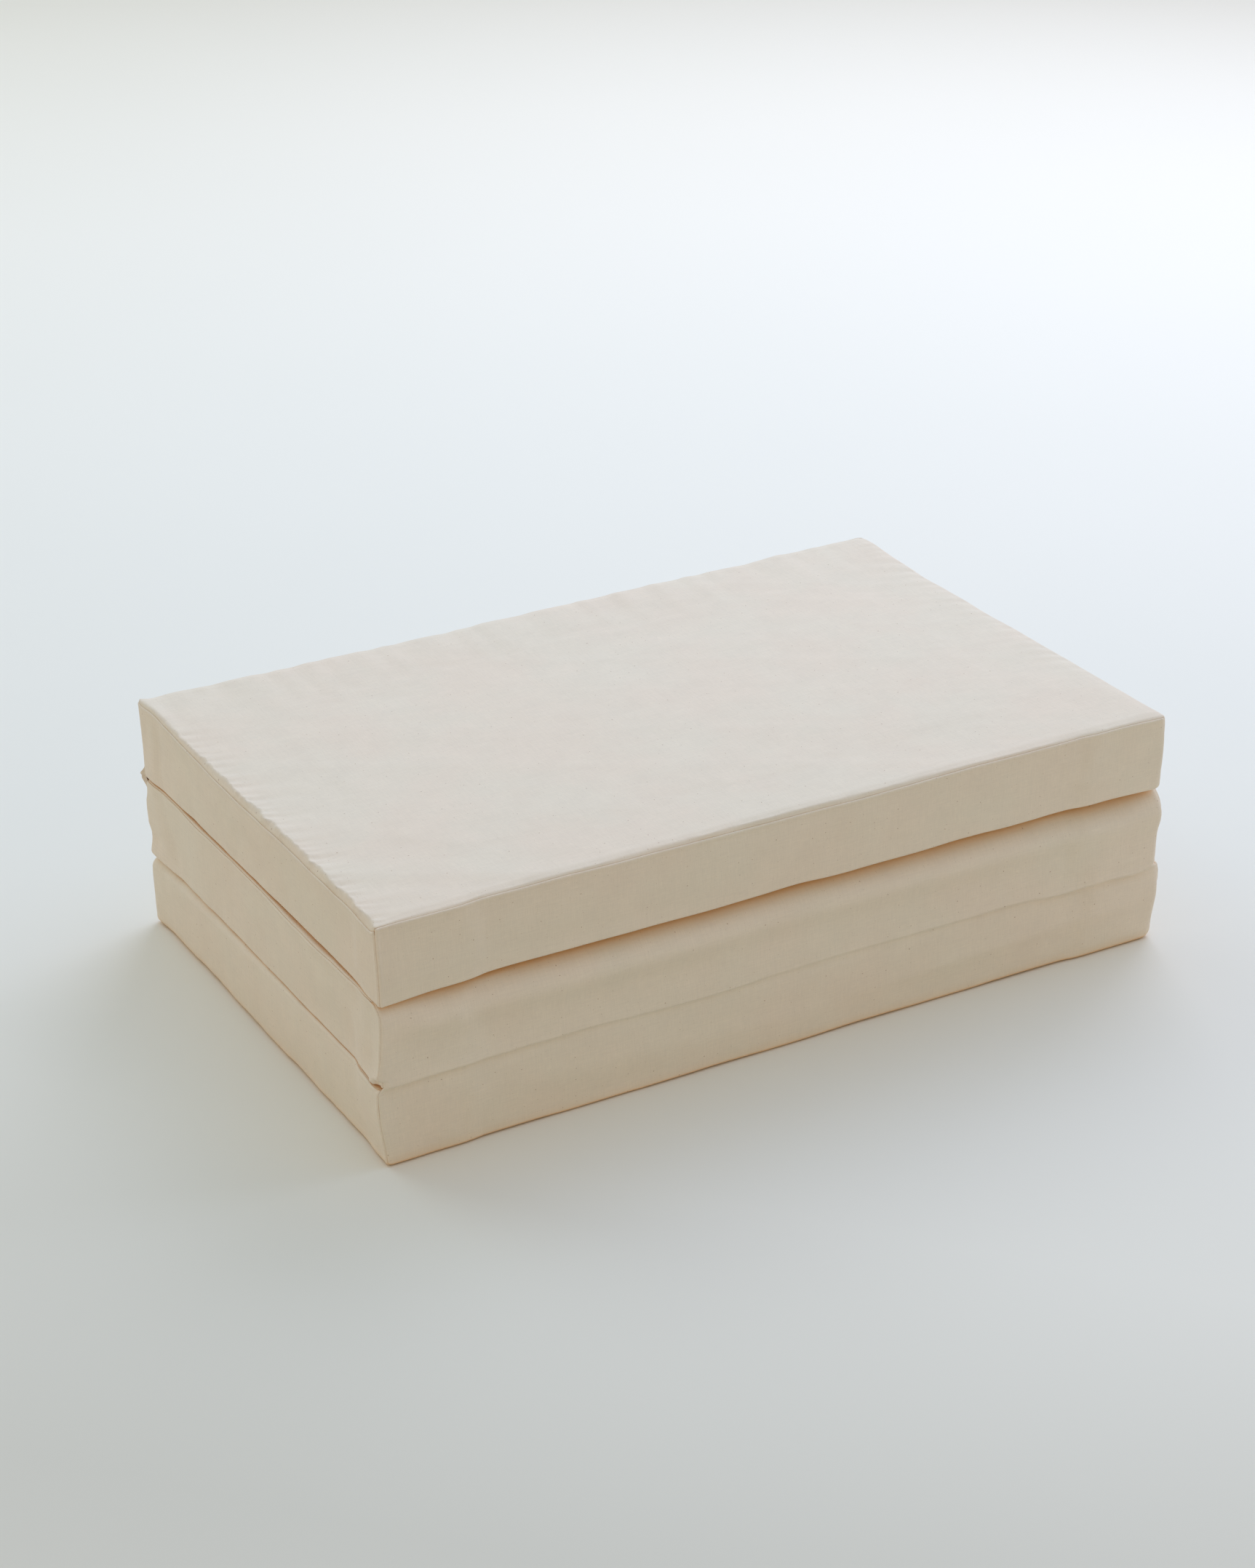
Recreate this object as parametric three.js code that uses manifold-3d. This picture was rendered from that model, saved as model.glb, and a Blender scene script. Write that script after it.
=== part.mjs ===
// A three-section folding futon mattress, stored folded in three.
//
// Three box cushions lie on each other. Each is a foam core between two layers of cotton
// felt, inside a sewn calico cover of separate panels, with a zip along one short wall.
// The bottom and middle cushions are hinged along their front long edges, and the middle
// and top cushions along their back long edges, so the stack opens out flat.
//
// Millimetres. +X runs along the long side, +Y to the back and +Z up. The origin is on the
// floor, under the middle of the stack.

import * as THREE from "three";
import { mergeVertices } from "three/addons/utils/BufferGeometryUtils.js";
import Module from "manifold-3d";

// ---- driving dimensions ----

const LENGTH = 1000; // long side of a cushion, along X
const DEPTH = 645; // short side of a cushion, along Y
const CUSHION_HEIGHT = 96; // one cushion, seam to seam
const CUSHION_GAP = 1; // between two stacked cushions
const CUSHIONS = ["bottom", "middle", "top"];

const CLOTH = 1; // thickness of a cover panel
const CLEAR = 0.3; // gap between pieces that touch
const FELT = 6; // one layer of cotton felt

const ZIP_OPENING = 11; // height of the slit between the two strips of the zipped wall
const TAPE_THICK = 0.8;
const TAPE_REACH = 15; // from the middle of the zip to the tape's sewn edge
const TAPE_INSET = 1.6; // from the wall's outer face to the tape's outer face
const COIL_HALF = 2.3; // half the height of the two closed coils together
const COIL_GAP = 0.15; // from the middle of the zip to each coil
const COIL_THICK = 1.5;
const STOP_SIZE = { along: 2, high: 6, thick: 0.8 };
const STOP_FROM_END = 6; // from the end of the zip to the middle of an end stop

const SLIDER_LENGTH = 16;
const SLIDER_HALF_HEIGHT = 4.8;
const SLIDER_NOSE_HALF = 3.2; // half height of the slider's narrow end
const SLIDER_PLATE = 2.2;
const FLANGE_INNER = 2.6; // from the middle of the zip to a flange's inner face
const BRIDGE = { half: 5.2, thick: 1, rise: 3, halfWidth: 1 };
const SLIDER_FROM_END = 26; // from the end of the zip to the middle of the closed slider

const PULL_LENGTH = 26;
const PULL_HALF = 3; // half height of the tongue
const PULL_THICK = 1;
const PULL_WINDOW = { from: 0.5, to: 6.5, half: 1.7 };
const PULL_ROUND = 2.4; // corner radius at the free end

// ---- materials ----

const CALICO = { color: 0xd3c7b0, roughness: 0.9, metalness: 0 };
const FOAM = { color: 0xe9dfb8, roughness: 0.95, metalness: 0 };
const COTTON_FELT = { color: 0xe8e2d2, roughness: 0.98, metalness: 0 };
const ZIP_TAPE = { color: 0xd8cdb6, roughness: 0.9, metalness: 0 };
const ZIP_COIL = { color: 0xe4dcc8, roughness: 0.55, metalness: 0 };
const ZIP_METAL = { color: 0xa9a294, roughness: 0.4, metalness: 0.9 };

// ---- helpers ----

const wasm = await Module();
wasm.setup();

// A closed geometry as a solid that can be joined or cut.
function toSolid(geometry) {
  geometry.deleteAttribute("normal");
  geometry.deleteAttribute("uv");
  const merged = mergeVertices(geometry, 1e-4);
  const mesh = new wasm.Mesh({
    numProp: 3,
    vertProperties: Float32Array.from(merged.attributes.position.array),
    triVerts: Uint32Array.from(merged.index.array),
  });
  return new wasm.Manifold(mesh);
}

// A solid back as a geometry.
function toGeometry(solid) {
  const mesh = solid.getMesh();
  const geometry = new THREE.BufferGeometry();
  geometry.setAttribute("position", new THREE.BufferAttribute(mesh.vertProperties, 3));
  geometry.setIndex(new THREE.BufferAttribute(mesh.triVerts, 1));
  geometry.computeVertexNormals();
  return geometry;
}

// A box between two corners.
function box(low, high) {
  const size = high.map((value, i) => value - low[i]);
  const middle = high.map((value, i) => (value + low[i]) / 2);
  const geometry = new THREE.BoxGeometry(...size);
  geometry.translate(...middle);
  return geometry;
}

// A flat outline in Y and Z, given thickness from x0 to x1.
function plateAlongWall(shape, x0, x1) {
  const geometry = new THREE.ExtrudeGeometry(shape, {
    depth: x1 - x0,
    bevelEnabled: false,
    curveSegments: 6,
  });
  // The outline's x and y become Y and Z, and the extrusion runs along +X.
  const turn = new THREE.Matrix4().makeBasis(
    new THREE.Vector3(0, 1, 0),
    new THREE.Vector3(0, 0, 1),
    new THREE.Vector3(1, 0, 0),
  );
  geometry.applyMatrix4(turn);
  geometry.translate(x0, 0, 0);
  return geometry;
}

function piece(name, geometry, look) {
  const mesh = new THREE.Mesh(geometry, new THREE.MeshStandardMaterial(look));
  mesh.name = name;
  return mesh;
}

// ---- one cushion, with the middle of its height at z = 0 ----

const HALF_X = LENGTH / 2;
const HALF_Y = DEPTH / 2;
const HALF_Z = CUSHION_HEIGHT / 2;
const WALL_Z = HALF_Z - CLOTH - CLEAR; // half height of a wall between the two panels
const INNER_Y = HALF_Y - CLOTH - CLEAR; // half depth inside the front and back walls
const INNER_X = HALF_X - CLOTH - CLEAR;
const TAPE_OUT = HALF_X - TAPE_INSET;
const TAPE_IN = TAPE_OUT - TAPE_THICK;
const COIL_OUT = TAPE_OUT + CLEAR + COIL_THICK;
const PLATE_IN = COIL_OUT + CLEAR;
const PLATE_OUT = PLATE_IN + SLIDER_PLATE;
const PULL_AXIS_X = PLATE_OUT + PULL_THICK; // the pull turns about this line, half its own
// thickness clear of the slider's plate
const SLIDER_Y = -INNER_Y + SLIDER_FROM_END;

function filling(name) {
  const inside = HALF_Z - CLOTH - CLEAR;
  const core = inside - FELT - CLEAR;
  const x0 = -INNER_X;
  const x1 = TAPE_IN - CLEAR;
  return [
    piece(`${name}_foam_core`, box([x0, -INNER_Y, -core], [x1, INNER_Y, core]), FOAM),
    piece(`${name}_upper_felt`,
      box([x0, -INNER_Y, inside - FELT], [x1, INNER_Y, inside]), COTTON_FELT),
    piece(`${name}_lower_felt`,
      box([x0, -INNER_Y, -inside], [x1, INNER_Y, -inside + FELT]), COTTON_FELT),
  ];
}

function coverPanels(name) {
  const upper = box([-HALF_X, -HALF_Y, HALF_Z - CLOTH], [HALF_X, HALF_Y, HALF_Z]);
  const lower = box([-HALF_X, -HALF_Y, -HALF_Z], [HALF_X, HALF_Y, -HALF_Z + CLOTH]);
  return [
    piece(`${name}_upper_panel`, upper, CALICO),
    piece(`${name}_lower_panel`, lower, CALICO),
  ];
}

function coverWalls(name) {
  const slit = ZIP_OPENING / 2;
  const front = box([-HALF_X, -HALF_Y, -WALL_Z], [HALF_X, -HALF_Y + CLOTH, WALL_Z]);
  const back = box([-HALF_X, HALF_Y - CLOTH, -WALL_Z], [HALF_X, HALF_Y, WALL_Z]);
  const left = box([-HALF_X, -INNER_Y, -WALL_Z], [-HALF_X + CLOTH, INNER_Y, WALL_Z]);
  const over = box([HALF_X - CLOTH, -INNER_Y, slit], [HALF_X, INNER_Y, WALL_Z]);
  const under = box([HALF_X - CLOTH, -INNER_Y, -WALL_Z], [HALF_X, INNER_Y, -slit]);
  return [
    piece(`${name}_front_wall`, front, CALICO),
    piece(`${name}_back_wall`, back, CALICO),
    piece(`${name}_left_wall`, left, CALICO),
    piece(`${name}_right_wall_upper`, over, CALICO),
    piece(`${name}_right_wall_lower`, under, CALICO),
  ];
}

// The two tapes and their coils, which run the full depth of the right wall.
function zipTapes(name) {
  const pieces = [];
  for (const [side, sign] of [["upper", 1], ["lower", -1]]) {
    const tape = [sign * CLEAR, sign * TAPE_REACH].sort((a, b) => a - b);
    const coil = [sign * COIL_GAP, sign * COIL_HALF].sort((a, b) => a - b);
    pieces.push(piece(`${name}_zip_tape_${side}`,
      box([TAPE_IN, -INNER_Y, tape[0]], [TAPE_OUT, INNER_Y, tape[1]]), ZIP_TAPE));
    pieces.push(piece(`${name}_zip_coil_${side}`,
      box([TAPE_OUT + CLEAR, -INNER_Y, coil[0]], [COIL_OUT, INNER_Y, coil[1]]), ZIP_COIL));
  }
  return pieces;
}

function zipStops(name) {
  const pieces = [];
  for (const [end, sign] of [["front", -1], ["back", 1]]) {
    const y = sign * (INNER_Y - STOP_FROM_END);
    const low = [PLATE_IN, y - STOP_SIZE.along / 2, -STOP_SIZE.high / 2];
    const high = [PLATE_IN + STOP_SIZE.thick, y + STOP_SIZE.along / 2, STOP_SIZE.high / 2];
    pieces.push(piece(`${name}_zip_stop_${end}`, box(low, high), ZIP_METAL));
  }
  return pieces;
}

// A tapered plate over the coils, a flange down each side of them, and a bridge on top.
function zipSlider(name) {
  const half = SLIDER_LENGTH / 2;
  const outline = new THREE.Shape();
  outline.moveTo(-half, -SLIDER_HALF_HEIGHT);
  outline.lineTo(0, -SLIDER_HALF_HEIGHT);
  outline.lineTo(half, -SLIDER_NOSE_HALF);
  outline.lineTo(half, SLIDER_NOSE_HALF);
  outline.lineTo(0, SLIDER_HALF_HEIGHT);
  outline.lineTo(-half, SLIDER_HALF_HEIGHT);
  outline.closePath();
  let solid = toSolid(plateAlongWall(outline, PLATE_IN, PLATE_OUT));
  for (const sign of [1, -1]) {
    const sides = [sign * FLANGE_INNER, sign * SLIDER_HALF_HEIGHT].sort((a, b) => a - b);
    const flange = box([TAPE_OUT + CLEAR, -half, sides[0]], [PLATE_OUT, 0, sides[1]]);
    solid = solid.add(toSolid(flange));
  }
  const top = PLATE_OUT + BRIDGE.rise;
  for (const sign of [1, -1]) {
    const ends = [sign * (BRIDGE.half - BRIDGE.thick), sign * BRIDGE.half];
    ends.sort((a, b) => a - b);
    const post = box(
      [PLATE_IN, ends[0], -BRIDGE.halfWidth], [top, ends[1], BRIDGE.halfWidth]);
    solid = solid.add(toSolid(post));
  }
  const bar = box([top - BRIDGE.thick, -BRIDGE.half, -BRIDGE.halfWidth],
    [top, BRIDGE.half, BRIDGE.halfWidth]);
  solid = solid.add(toSolid(bar));
  const mesh = piece(`${name}_zip_slider`, toGeometry(solid), ZIP_METAL);
  mesh.position.y = SLIDER_Y;
  return mesh;
}

// A flat tongue. Its window goes round the slider's bridge, and it turns about its own end
// bar, which lies under the bridge.
function zipPull(name) {
  const end = PULL_LENGTH;
  const start = -PULL_THICK / 2;
  const tongue = new THREE.Shape();
  tongue.moveTo(start, -PULL_HALF);
  tongue.lineTo(end - PULL_ROUND, -PULL_HALF);
  tongue.absarc(end - PULL_ROUND, -PULL_HALF + PULL_ROUND, PULL_ROUND, -Math.PI / 2, 0);
  tongue.lineTo(end, PULL_HALF - PULL_ROUND);
  tongue.absarc(end - PULL_ROUND, PULL_HALF - PULL_ROUND, PULL_ROUND, 0, Math.PI / 2);
  tongue.lineTo(start, PULL_HALF);
  tongue.closePath();
  const window = new THREE.Path();
  window.moveTo(PULL_WINDOW.from, -PULL_WINDOW.half);
  window.lineTo(PULL_WINDOW.to, -PULL_WINDOW.half);
  window.lineTo(PULL_WINDOW.to, PULL_WINDOW.half);
  window.lineTo(PULL_WINDOW.from, PULL_WINDOW.half);
  window.closePath();
  tongue.holes.push(window);
  const half = PULL_THICK / 2;
  const geometry = plateAlongWall(tongue, PULL_AXIS_X - half, PULL_AXIS_X + half);
  const mesh = piece(`${name}_zip_pull`, geometry, ZIP_METAL);
  mesh.position.y = SLIDER_Y;
  return mesh;
}

function cushion(name) {
  const pieces = new THREE.Group();
  pieces.add(...filling(name));
  pieces.add(...coverPanels(name));
  pieces.add(...coverWalls(name));
  pieces.add(...zipTapes(name));
  pieces.add(...zipStops(name));
  pieces.add(zipSlider(name));
  pieces.add(zipPull(name));
  return pieces;
}

// ---- the folded stack ----

const group = new THREE.Group();
CUSHIONS.forEach((name, level) => {
  const pieces = cushion(name);
  pieces.position.z = HALF_Z + level * (CUSHION_HEIGHT + CUSHION_GAP);
  group.add(pieces);
});

export default group;
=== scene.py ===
"""Looks of a three-section folding futon mattress, stored folded in three.

Each cushion's cover is made as it is sewn: separate calico panels whose edges turn in along
the seams. All of a cushion's pieces start on one sharp box, the CAD's, and one set of moves
(rounded edges, sags, and the fullness of a cloth simulation) shapes them together, so that
neighbouring panels still meet. The wall along a folded edge is one cloth over two cushions.

Metres, in the frame of the CAD model: +X along the long side, +Y to the back, +Z up.
"""

import math
from collections import namedtuple

import bpy
import numpy as np
from mathutils import Matrix, Vector


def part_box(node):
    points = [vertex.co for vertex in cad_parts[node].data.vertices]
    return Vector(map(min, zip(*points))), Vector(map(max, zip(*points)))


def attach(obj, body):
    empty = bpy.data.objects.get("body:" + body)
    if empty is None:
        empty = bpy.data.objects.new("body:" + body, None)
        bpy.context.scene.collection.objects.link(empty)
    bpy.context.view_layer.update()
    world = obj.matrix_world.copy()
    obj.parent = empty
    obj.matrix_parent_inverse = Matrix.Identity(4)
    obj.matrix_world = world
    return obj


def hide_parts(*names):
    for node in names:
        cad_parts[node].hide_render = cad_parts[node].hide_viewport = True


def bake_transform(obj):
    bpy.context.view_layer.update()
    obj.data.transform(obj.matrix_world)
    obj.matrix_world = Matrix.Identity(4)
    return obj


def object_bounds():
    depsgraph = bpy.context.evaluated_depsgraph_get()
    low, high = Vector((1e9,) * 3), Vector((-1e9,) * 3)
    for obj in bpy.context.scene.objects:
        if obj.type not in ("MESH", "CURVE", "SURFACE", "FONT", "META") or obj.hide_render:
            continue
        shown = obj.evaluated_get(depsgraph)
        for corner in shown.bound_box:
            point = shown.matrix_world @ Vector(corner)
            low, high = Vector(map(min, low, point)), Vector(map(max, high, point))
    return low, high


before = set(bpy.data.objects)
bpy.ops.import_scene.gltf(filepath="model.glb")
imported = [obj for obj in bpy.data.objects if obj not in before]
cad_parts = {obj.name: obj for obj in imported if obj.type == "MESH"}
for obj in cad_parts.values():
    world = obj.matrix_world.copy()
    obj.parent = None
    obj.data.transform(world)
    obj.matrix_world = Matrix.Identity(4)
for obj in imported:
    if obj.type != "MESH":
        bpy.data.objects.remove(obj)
CAD_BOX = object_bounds()

MM = 0.001
CUSHIONS = ("bottom", "middle", "top")

CLOTH = 0.6 * MM  # thickness of the calico
SEAM_HALF = 0.31 * MM  # from the middle of a seam to the middle of each cloth in it
ALLOWANCE = 6 * MM  # depth of the seam allowance inside the cover
TUCK_BEHIND = 1.3 * MM  # from a shared wall to the edge of a panel tucked behind it
HEM = 0.8 * MM  # turned edge beside a zip
FILLING_INSET = 2.6 * MM  # from the cover's middle surface to the foam
FELT_INSET = 16 * MM  # and from its walls to the felt, which stops short of the seams
FELT_CLEARANCE = 1.6 * MM  # from the CAD felt's outer face to the one that shows here
ROLL_FADE = 60 * MM  # how far a panel is drawn along by its rolled edge
PANEL_STEP = 6 * MM  # between stations along a panel that shows
HIDDEN_STEP = 12 * MM  # and along one that doesn't
PUCKER_STEP = 3 * MM  # and across the fine puckers of the top
# Stations from a panel's edge inward, close enough together for its seam and rounded edge.
FINE_STATIONS = np.array([0, 0.9, 1.9, 3.0, 4.2, 5.6, 7.1, 8.7, 10.4, 12.4, 14.8]) * MM
CREASE_REACH = 15 * MM  # height over which a shared wall passes from cushion to cushion

SIM_STEP = 12.5 * MM  # between the points of the simulated cover
SIM_FRAMES = 20
SIM_CAP = {0: 1.5 * MM, 1: 1.5 * MM, 2: 0.25 * MM}  # most fullness along x, y and z

# A face is its axis and the side of the box that it is on.
FACES = {
    "left": (0, -1), "right": (0, 1),
    "front": (1, -1), "back": (1, 1),
    "lower": (2, -1), "upper": (2, 1),
}


def normal(face):
    """The unit vector that points out of a face."""
    axis, sign = FACES[face]
    vector = np.zeros(3)
    vector[axis] = sign
    return vector


# ---- smooth functions ----


def ramp(t, start, end):
    """0 before start, 1 after end, and smooth between them."""
    t = np.clip((t - start) / (end - start), 0, 1)
    return t * t * (3 - 2 * t)


def near(distance, reach):
    """1 at a face, falling smoothly to 0 at reach from it."""
    return 1 - ramp(distance, 0, reach)


def close_to(gaps, **reaches):
    """1 where the named faces meet, falling to 0 at each one's reach, in millimetres."""
    share = 1.0
    for face, reach in reaches.items():
        share = share * near(gaps[face], reach * MM)
    return share


def hump(t, centre, half):
    """1 at centre, falling smoothly to a third at half from it."""
    return np.exp(-(((t - centre) / half) ** 2))


NOISE_CELLS = 97
NOISE_ORIGIN = 31  # the cell that holds the origin


def soft_noise(u, v, cell_u, cell_v, seed):
    """Smooth hills and hollows from -1 to 1 over a plane, about a cell apart."""
    lattice = np.random.default_rng(seed).uniform(-1, 1, (NOISE_CELLS, NOISE_CELLS))
    a = u / cell_u + NOISE_ORIGIN
    b = v / cell_v + NOISE_ORIGIN
    i = np.floor(a).astype(int)
    j = np.floor(b).astype(int)
    s = a - i
    t = b - j
    s = s * s * s * (s * (s * 6 - 15) + 10)
    t = t * t * t * (t * (t * 6 - 15) + 10)
    i_next = (i + 1) % NOISE_CELLS
    j_next = (j + 1) % NOISE_CELLS
    i = i % NOISE_CELLS
    j = j % NOISE_CELLS
    low = lattice[i, j] * (1 - s) + lattice[i_next, j] * s
    high = lattice[i, j_next] * (1 - s) + lattice[i_next, j_next] * s
    return low * (1 - t) + high * t


def waves(t, cell, seed):
    """Smooth waves from -1 to 1 along a line, about a cell apart."""
    return soft_noise(t, t * 0, cell, 1, seed)


def cubic_weights(count, spots):
    """Catmull-Rom weights that read spots, from 0 to count - 1, off a row of count values."""
    weights = np.zeros((len(spots), count))
    base = np.clip(np.floor(spots).astype(int), 0, count - 2)
    t = spots - base
    shares = (
        (-t + 2 * t**2 - t**3) / 2,
        (2 - 5 * t**2 + 3 * t**3) / 2,
        (t + 4 * t**2 - 3 * t**3) / 2,
        (-(t**2) + t**3) / 2,
    )
    for offset, share in zip((-1, 0, 1, 2), shares):
        column = np.clip(base + offset, 0, count - 1)
        np.add.at(weights, (np.arange(len(spots)), column), share)
    return weights


# ---- a cushion's shape ----

# Radius of each rounded edge in millimetres. An edge that isn't listed has CRISP.
CRISP = 3
ROUNDS = {
    "top": {
        ("left", "front"): 4,
        ("left", "back"): 6,
        ("right", "front"): 9,
        ("right", "back"): 9,
        ("right", "upper"): 6,
        ("back", "upper"): 4,
        ("back", "lower"): 9,
    },
    "middle": {
        ("left", "front"): 4,
        ("left", "back"): 6,
        ("right", "front"): 9,
        ("right", "back"): 9,
        ("left", "upper"): 4,
        ("front", "lower"): 9,
        ("back", "upper"): 9,
    },
    "bottom": {
        ("left", "front"): 4,
        ("left", "back"): 7,
        ("right", "front"): 10,
        ("right", "back"): 9,
        ("front", "upper"): 9,
    },
}

# Edges where the wall rolls over onto the panel, so that the seam lies out of sight: the
# radius in millimetres at each end of the edge, the left or front end first.
ROLLS = {
    "top": {
        ("front", "lower"): (3, 4),
        ("left", "lower"): (3, 4),
        ("right", "lower"): (4, 5),
    },
    "middle": {
        ("front", "upper"): (20, 28),
        ("right", "upper"): (3, 5),
        ("left", "lower"): (0.8, 6),
        ("right", "lower"): (4, 6),
        ("back", "lower"): (6, 6),
    },
    "bottom": {
        ("left", "upper"): (0.8, 17),
        ("right", "upper"): (2.5, 5),
        ("back", "upper"): (7, 7),
        ("front", "lower"): (4, 5),
        ("left", "lower"): (6, 9),
        ("right", "lower"): (10, 8),
        ("back", "lower"): (6, 6),
    },
}


class Cushion:
    """A cushion's sharp box, and the moves that shape every piece of it."""

    def __init__(self, name):
        self.name = name
        self.low = np.array(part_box(f"{name}_lower_panel")[0]) + CLOTH / 2
        self.high = np.array(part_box(f"{name}_upper_panel")[1]) - CLOTH / 2
        self.middle = (self.low + self.high) / 2
        self.seed = 100 * (1 + CUSHIONS.index(name))
        self.rolled = tuple(ROLLS[name])
        self.fullness = None

    def distances(self, points):
        """How far each point of the sharp box is from each face."""
        found = {}
        for face, (axis, sign) in FACES.items():
            if sign < 0:
                found[face] = points[..., axis] - self.low[axis]
            else:
                found[face] = self.high[axis] - points[..., axis]
        return found

    def round_edges(self, points, gaps, keep_sharp):
        """The move that rounds every edge of the box but those in keep_sharp."""
        move = np.zeros_like(points)
        names = list(FACES)
        for i, one in enumerate(names):
            for other in names[i + 1:]:
                pair = (one, other)
                if FACES[one][0] == FACES[other][0] or pair in keep_sharp + self.rolled:
                    continue
                radius = ROUNDS[self.name].get(pair, CRISP) * MM
                if one == "front" and pair in ROUNDS[self.name]:
                    # A fold is sharp at its left end, where the side panels meet it.
                    radius = radius * (0.05 + 0.95 * ramp(gaps["left"], 0, 25 * MM))
                a = np.clip(1 - gaps[one] / radius, 0, 1)
                b = np.clip(1 - gaps[other] / radius, 0, 1)
                in_one = radius * a * (1 - np.sqrt(1 - b * b / 2))
                in_other = radius * b * (1 - np.sqrt(1 - a * a / 2))
                move -= in_one[..., None] * normal(one)
                move -= in_other[..., None] * normal(other)
        return move

    def roll_edges(self, points, gaps):
        """The move that rolls a wall's edge over onto the panel beside it."""
        move = np.zeros_like(points)
        for (wall, cap), (first, last) in ROLLS[self.name].items():
            along = 1 - FACES[wall][0]
            share = (points[..., along] - self.low[along]) / (self.high[along] - self.low[along])
            radius = (first + (last - first) * np.clip(share, 0, 1)) * MM
            t = np.clip(1 - gaps[cap] / radius, 0, 1)
            inward = radius * (1 - np.sqrt(1 - t * t)) * near(gaps[wall], ROLL_FADE)
            move -= inward[..., None] * normal(wall)
        return move

    def off_zip(self, z):
        """0 at the height of the zip, where the wall is straight, and 1 away from it."""
        return ramp(np.abs(z - self.middle[2]), 12 * MM, 30 * MM)

    def right_bulge(self, points, gaps, size, edge, centre, half):
        """The full right end, but for a groove along the zip. centre is measured from edge."""
        off_seams = ramp(gaps["front"], 0, 4 * MM) * ramp(gaps["back"], 0, 4 * MM)
        groove = (1 - self.off_zip(points[..., 2])) * off_seams
        return size * close_to(gaps, right=60) * hump(gaps[edge], centre, half) * (1 - groove)

    def unevenness(self, points, gaps):
        """Small slow waves of every edge, as a filled cover has."""
        x, y, z = (points[..., k] for k in range(3))
        move = np.zeros_like(points)
        along = x + 1.7 * y
        for k, face in enumerate(FACES):
            axis, sign = FACES[face]
            wave = soft_noise(along, z, 110 * MM, 70 * MM, self.seed + k)
            ripple = soft_noise(along, z, 38 * MM, 45 * MM, self.seed + 20 + k)
            size = (0.9 * wave + 0.35 * ripple) * MM
            if face in ("upper", "lower"):
                size = -np.abs(size) * 0.8
            if face == "right":
                size = size * self.off_zip(z)
            move[..., axis] += sign * size * near(gaps[face], 25 * MM)
        return move

    def place(self, points, keep_sharp=()):
        """Points of the sharp box, moved to where the filled cushion has them."""
        gaps = self.distances(points)
        move = self.round_edges(points, gaps, keep_sharp)
        move += self.roll_edges(points, gaps)
        move += self.unevenness(points, gaps)
        move += SETTLING[self.name](self, points, gaps)
        return points + move

    def full_at(self, face, u_values, v_values):
        """The simulated fullness on a grid of a face."""
        if self.fullness is None:
            return 0.0
        i, j = plane_axes(face)
        values = self.fullness[face]
        spots = []
        for axis, wanted, count in ((i, u_values, values.shape[0]), (j, v_values, values.shape[1])):
            share = (wanted - self.low[axis]) / (self.high[axis] - self.low[axis])
            spots.append(cubic_weights(count, np.clip(share, 0, 1) * (count - 1)))
        return np.einsum("ui,ijk,vj->uvk", spots[0], values, spots[1])

    def full_near(self, points):
        """The simulated fullness at loose points, from the faces that they are close to."""
        if self.fullness is None:
            return 0.0
        total = np.zeros_like(points)
        shares = np.zeros(len(points))
        gaps = self.distances(points)
        for face, values in self.fullness.items():
            spots = []
            for axis, count in zip(plane_axes(face), values.shape[:2]):
                share = (points[:, axis] - self.low[axis]) / (self.high[axis] - self.low[axis])
                spots.append(np.rint(np.clip(share, 0, 1) * (count - 1)).astype(int))
            weight = 1 / (gaps[face] + MM) ** 2
            total += weight[:, None] * values[spots[0], spots[1]]
            shares += weight
        return total / shares[:, None]


# ---- how each cushion has settled in the stack ----


def slope_at_left(cushion, y, gaps):
    """Of the top cushion: how far its left edge lies under the level of its face."""
    scallop = 1 + 0.75 * waves(y, 17 * MM, cushion.seed + 1)
    scallop = np.maximum(scallop + 0.40 * waves(y, 7 * MM, cushion.seed + 2), 0.25)
    low = cushion.low[1]
    share = (1 - 0.75 * ramp(y, 0.0, 0.30)) * ramp(y, low - 0.01, low + 0.015)
    band = (1.4 + 2.6 * share) * scallop * MM
    slope = 1 - np.clip(gaps["left"] / band, 0, 1)
    return 7.8 * MM * share * slope * close_to(gaps, upper=60)


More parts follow.
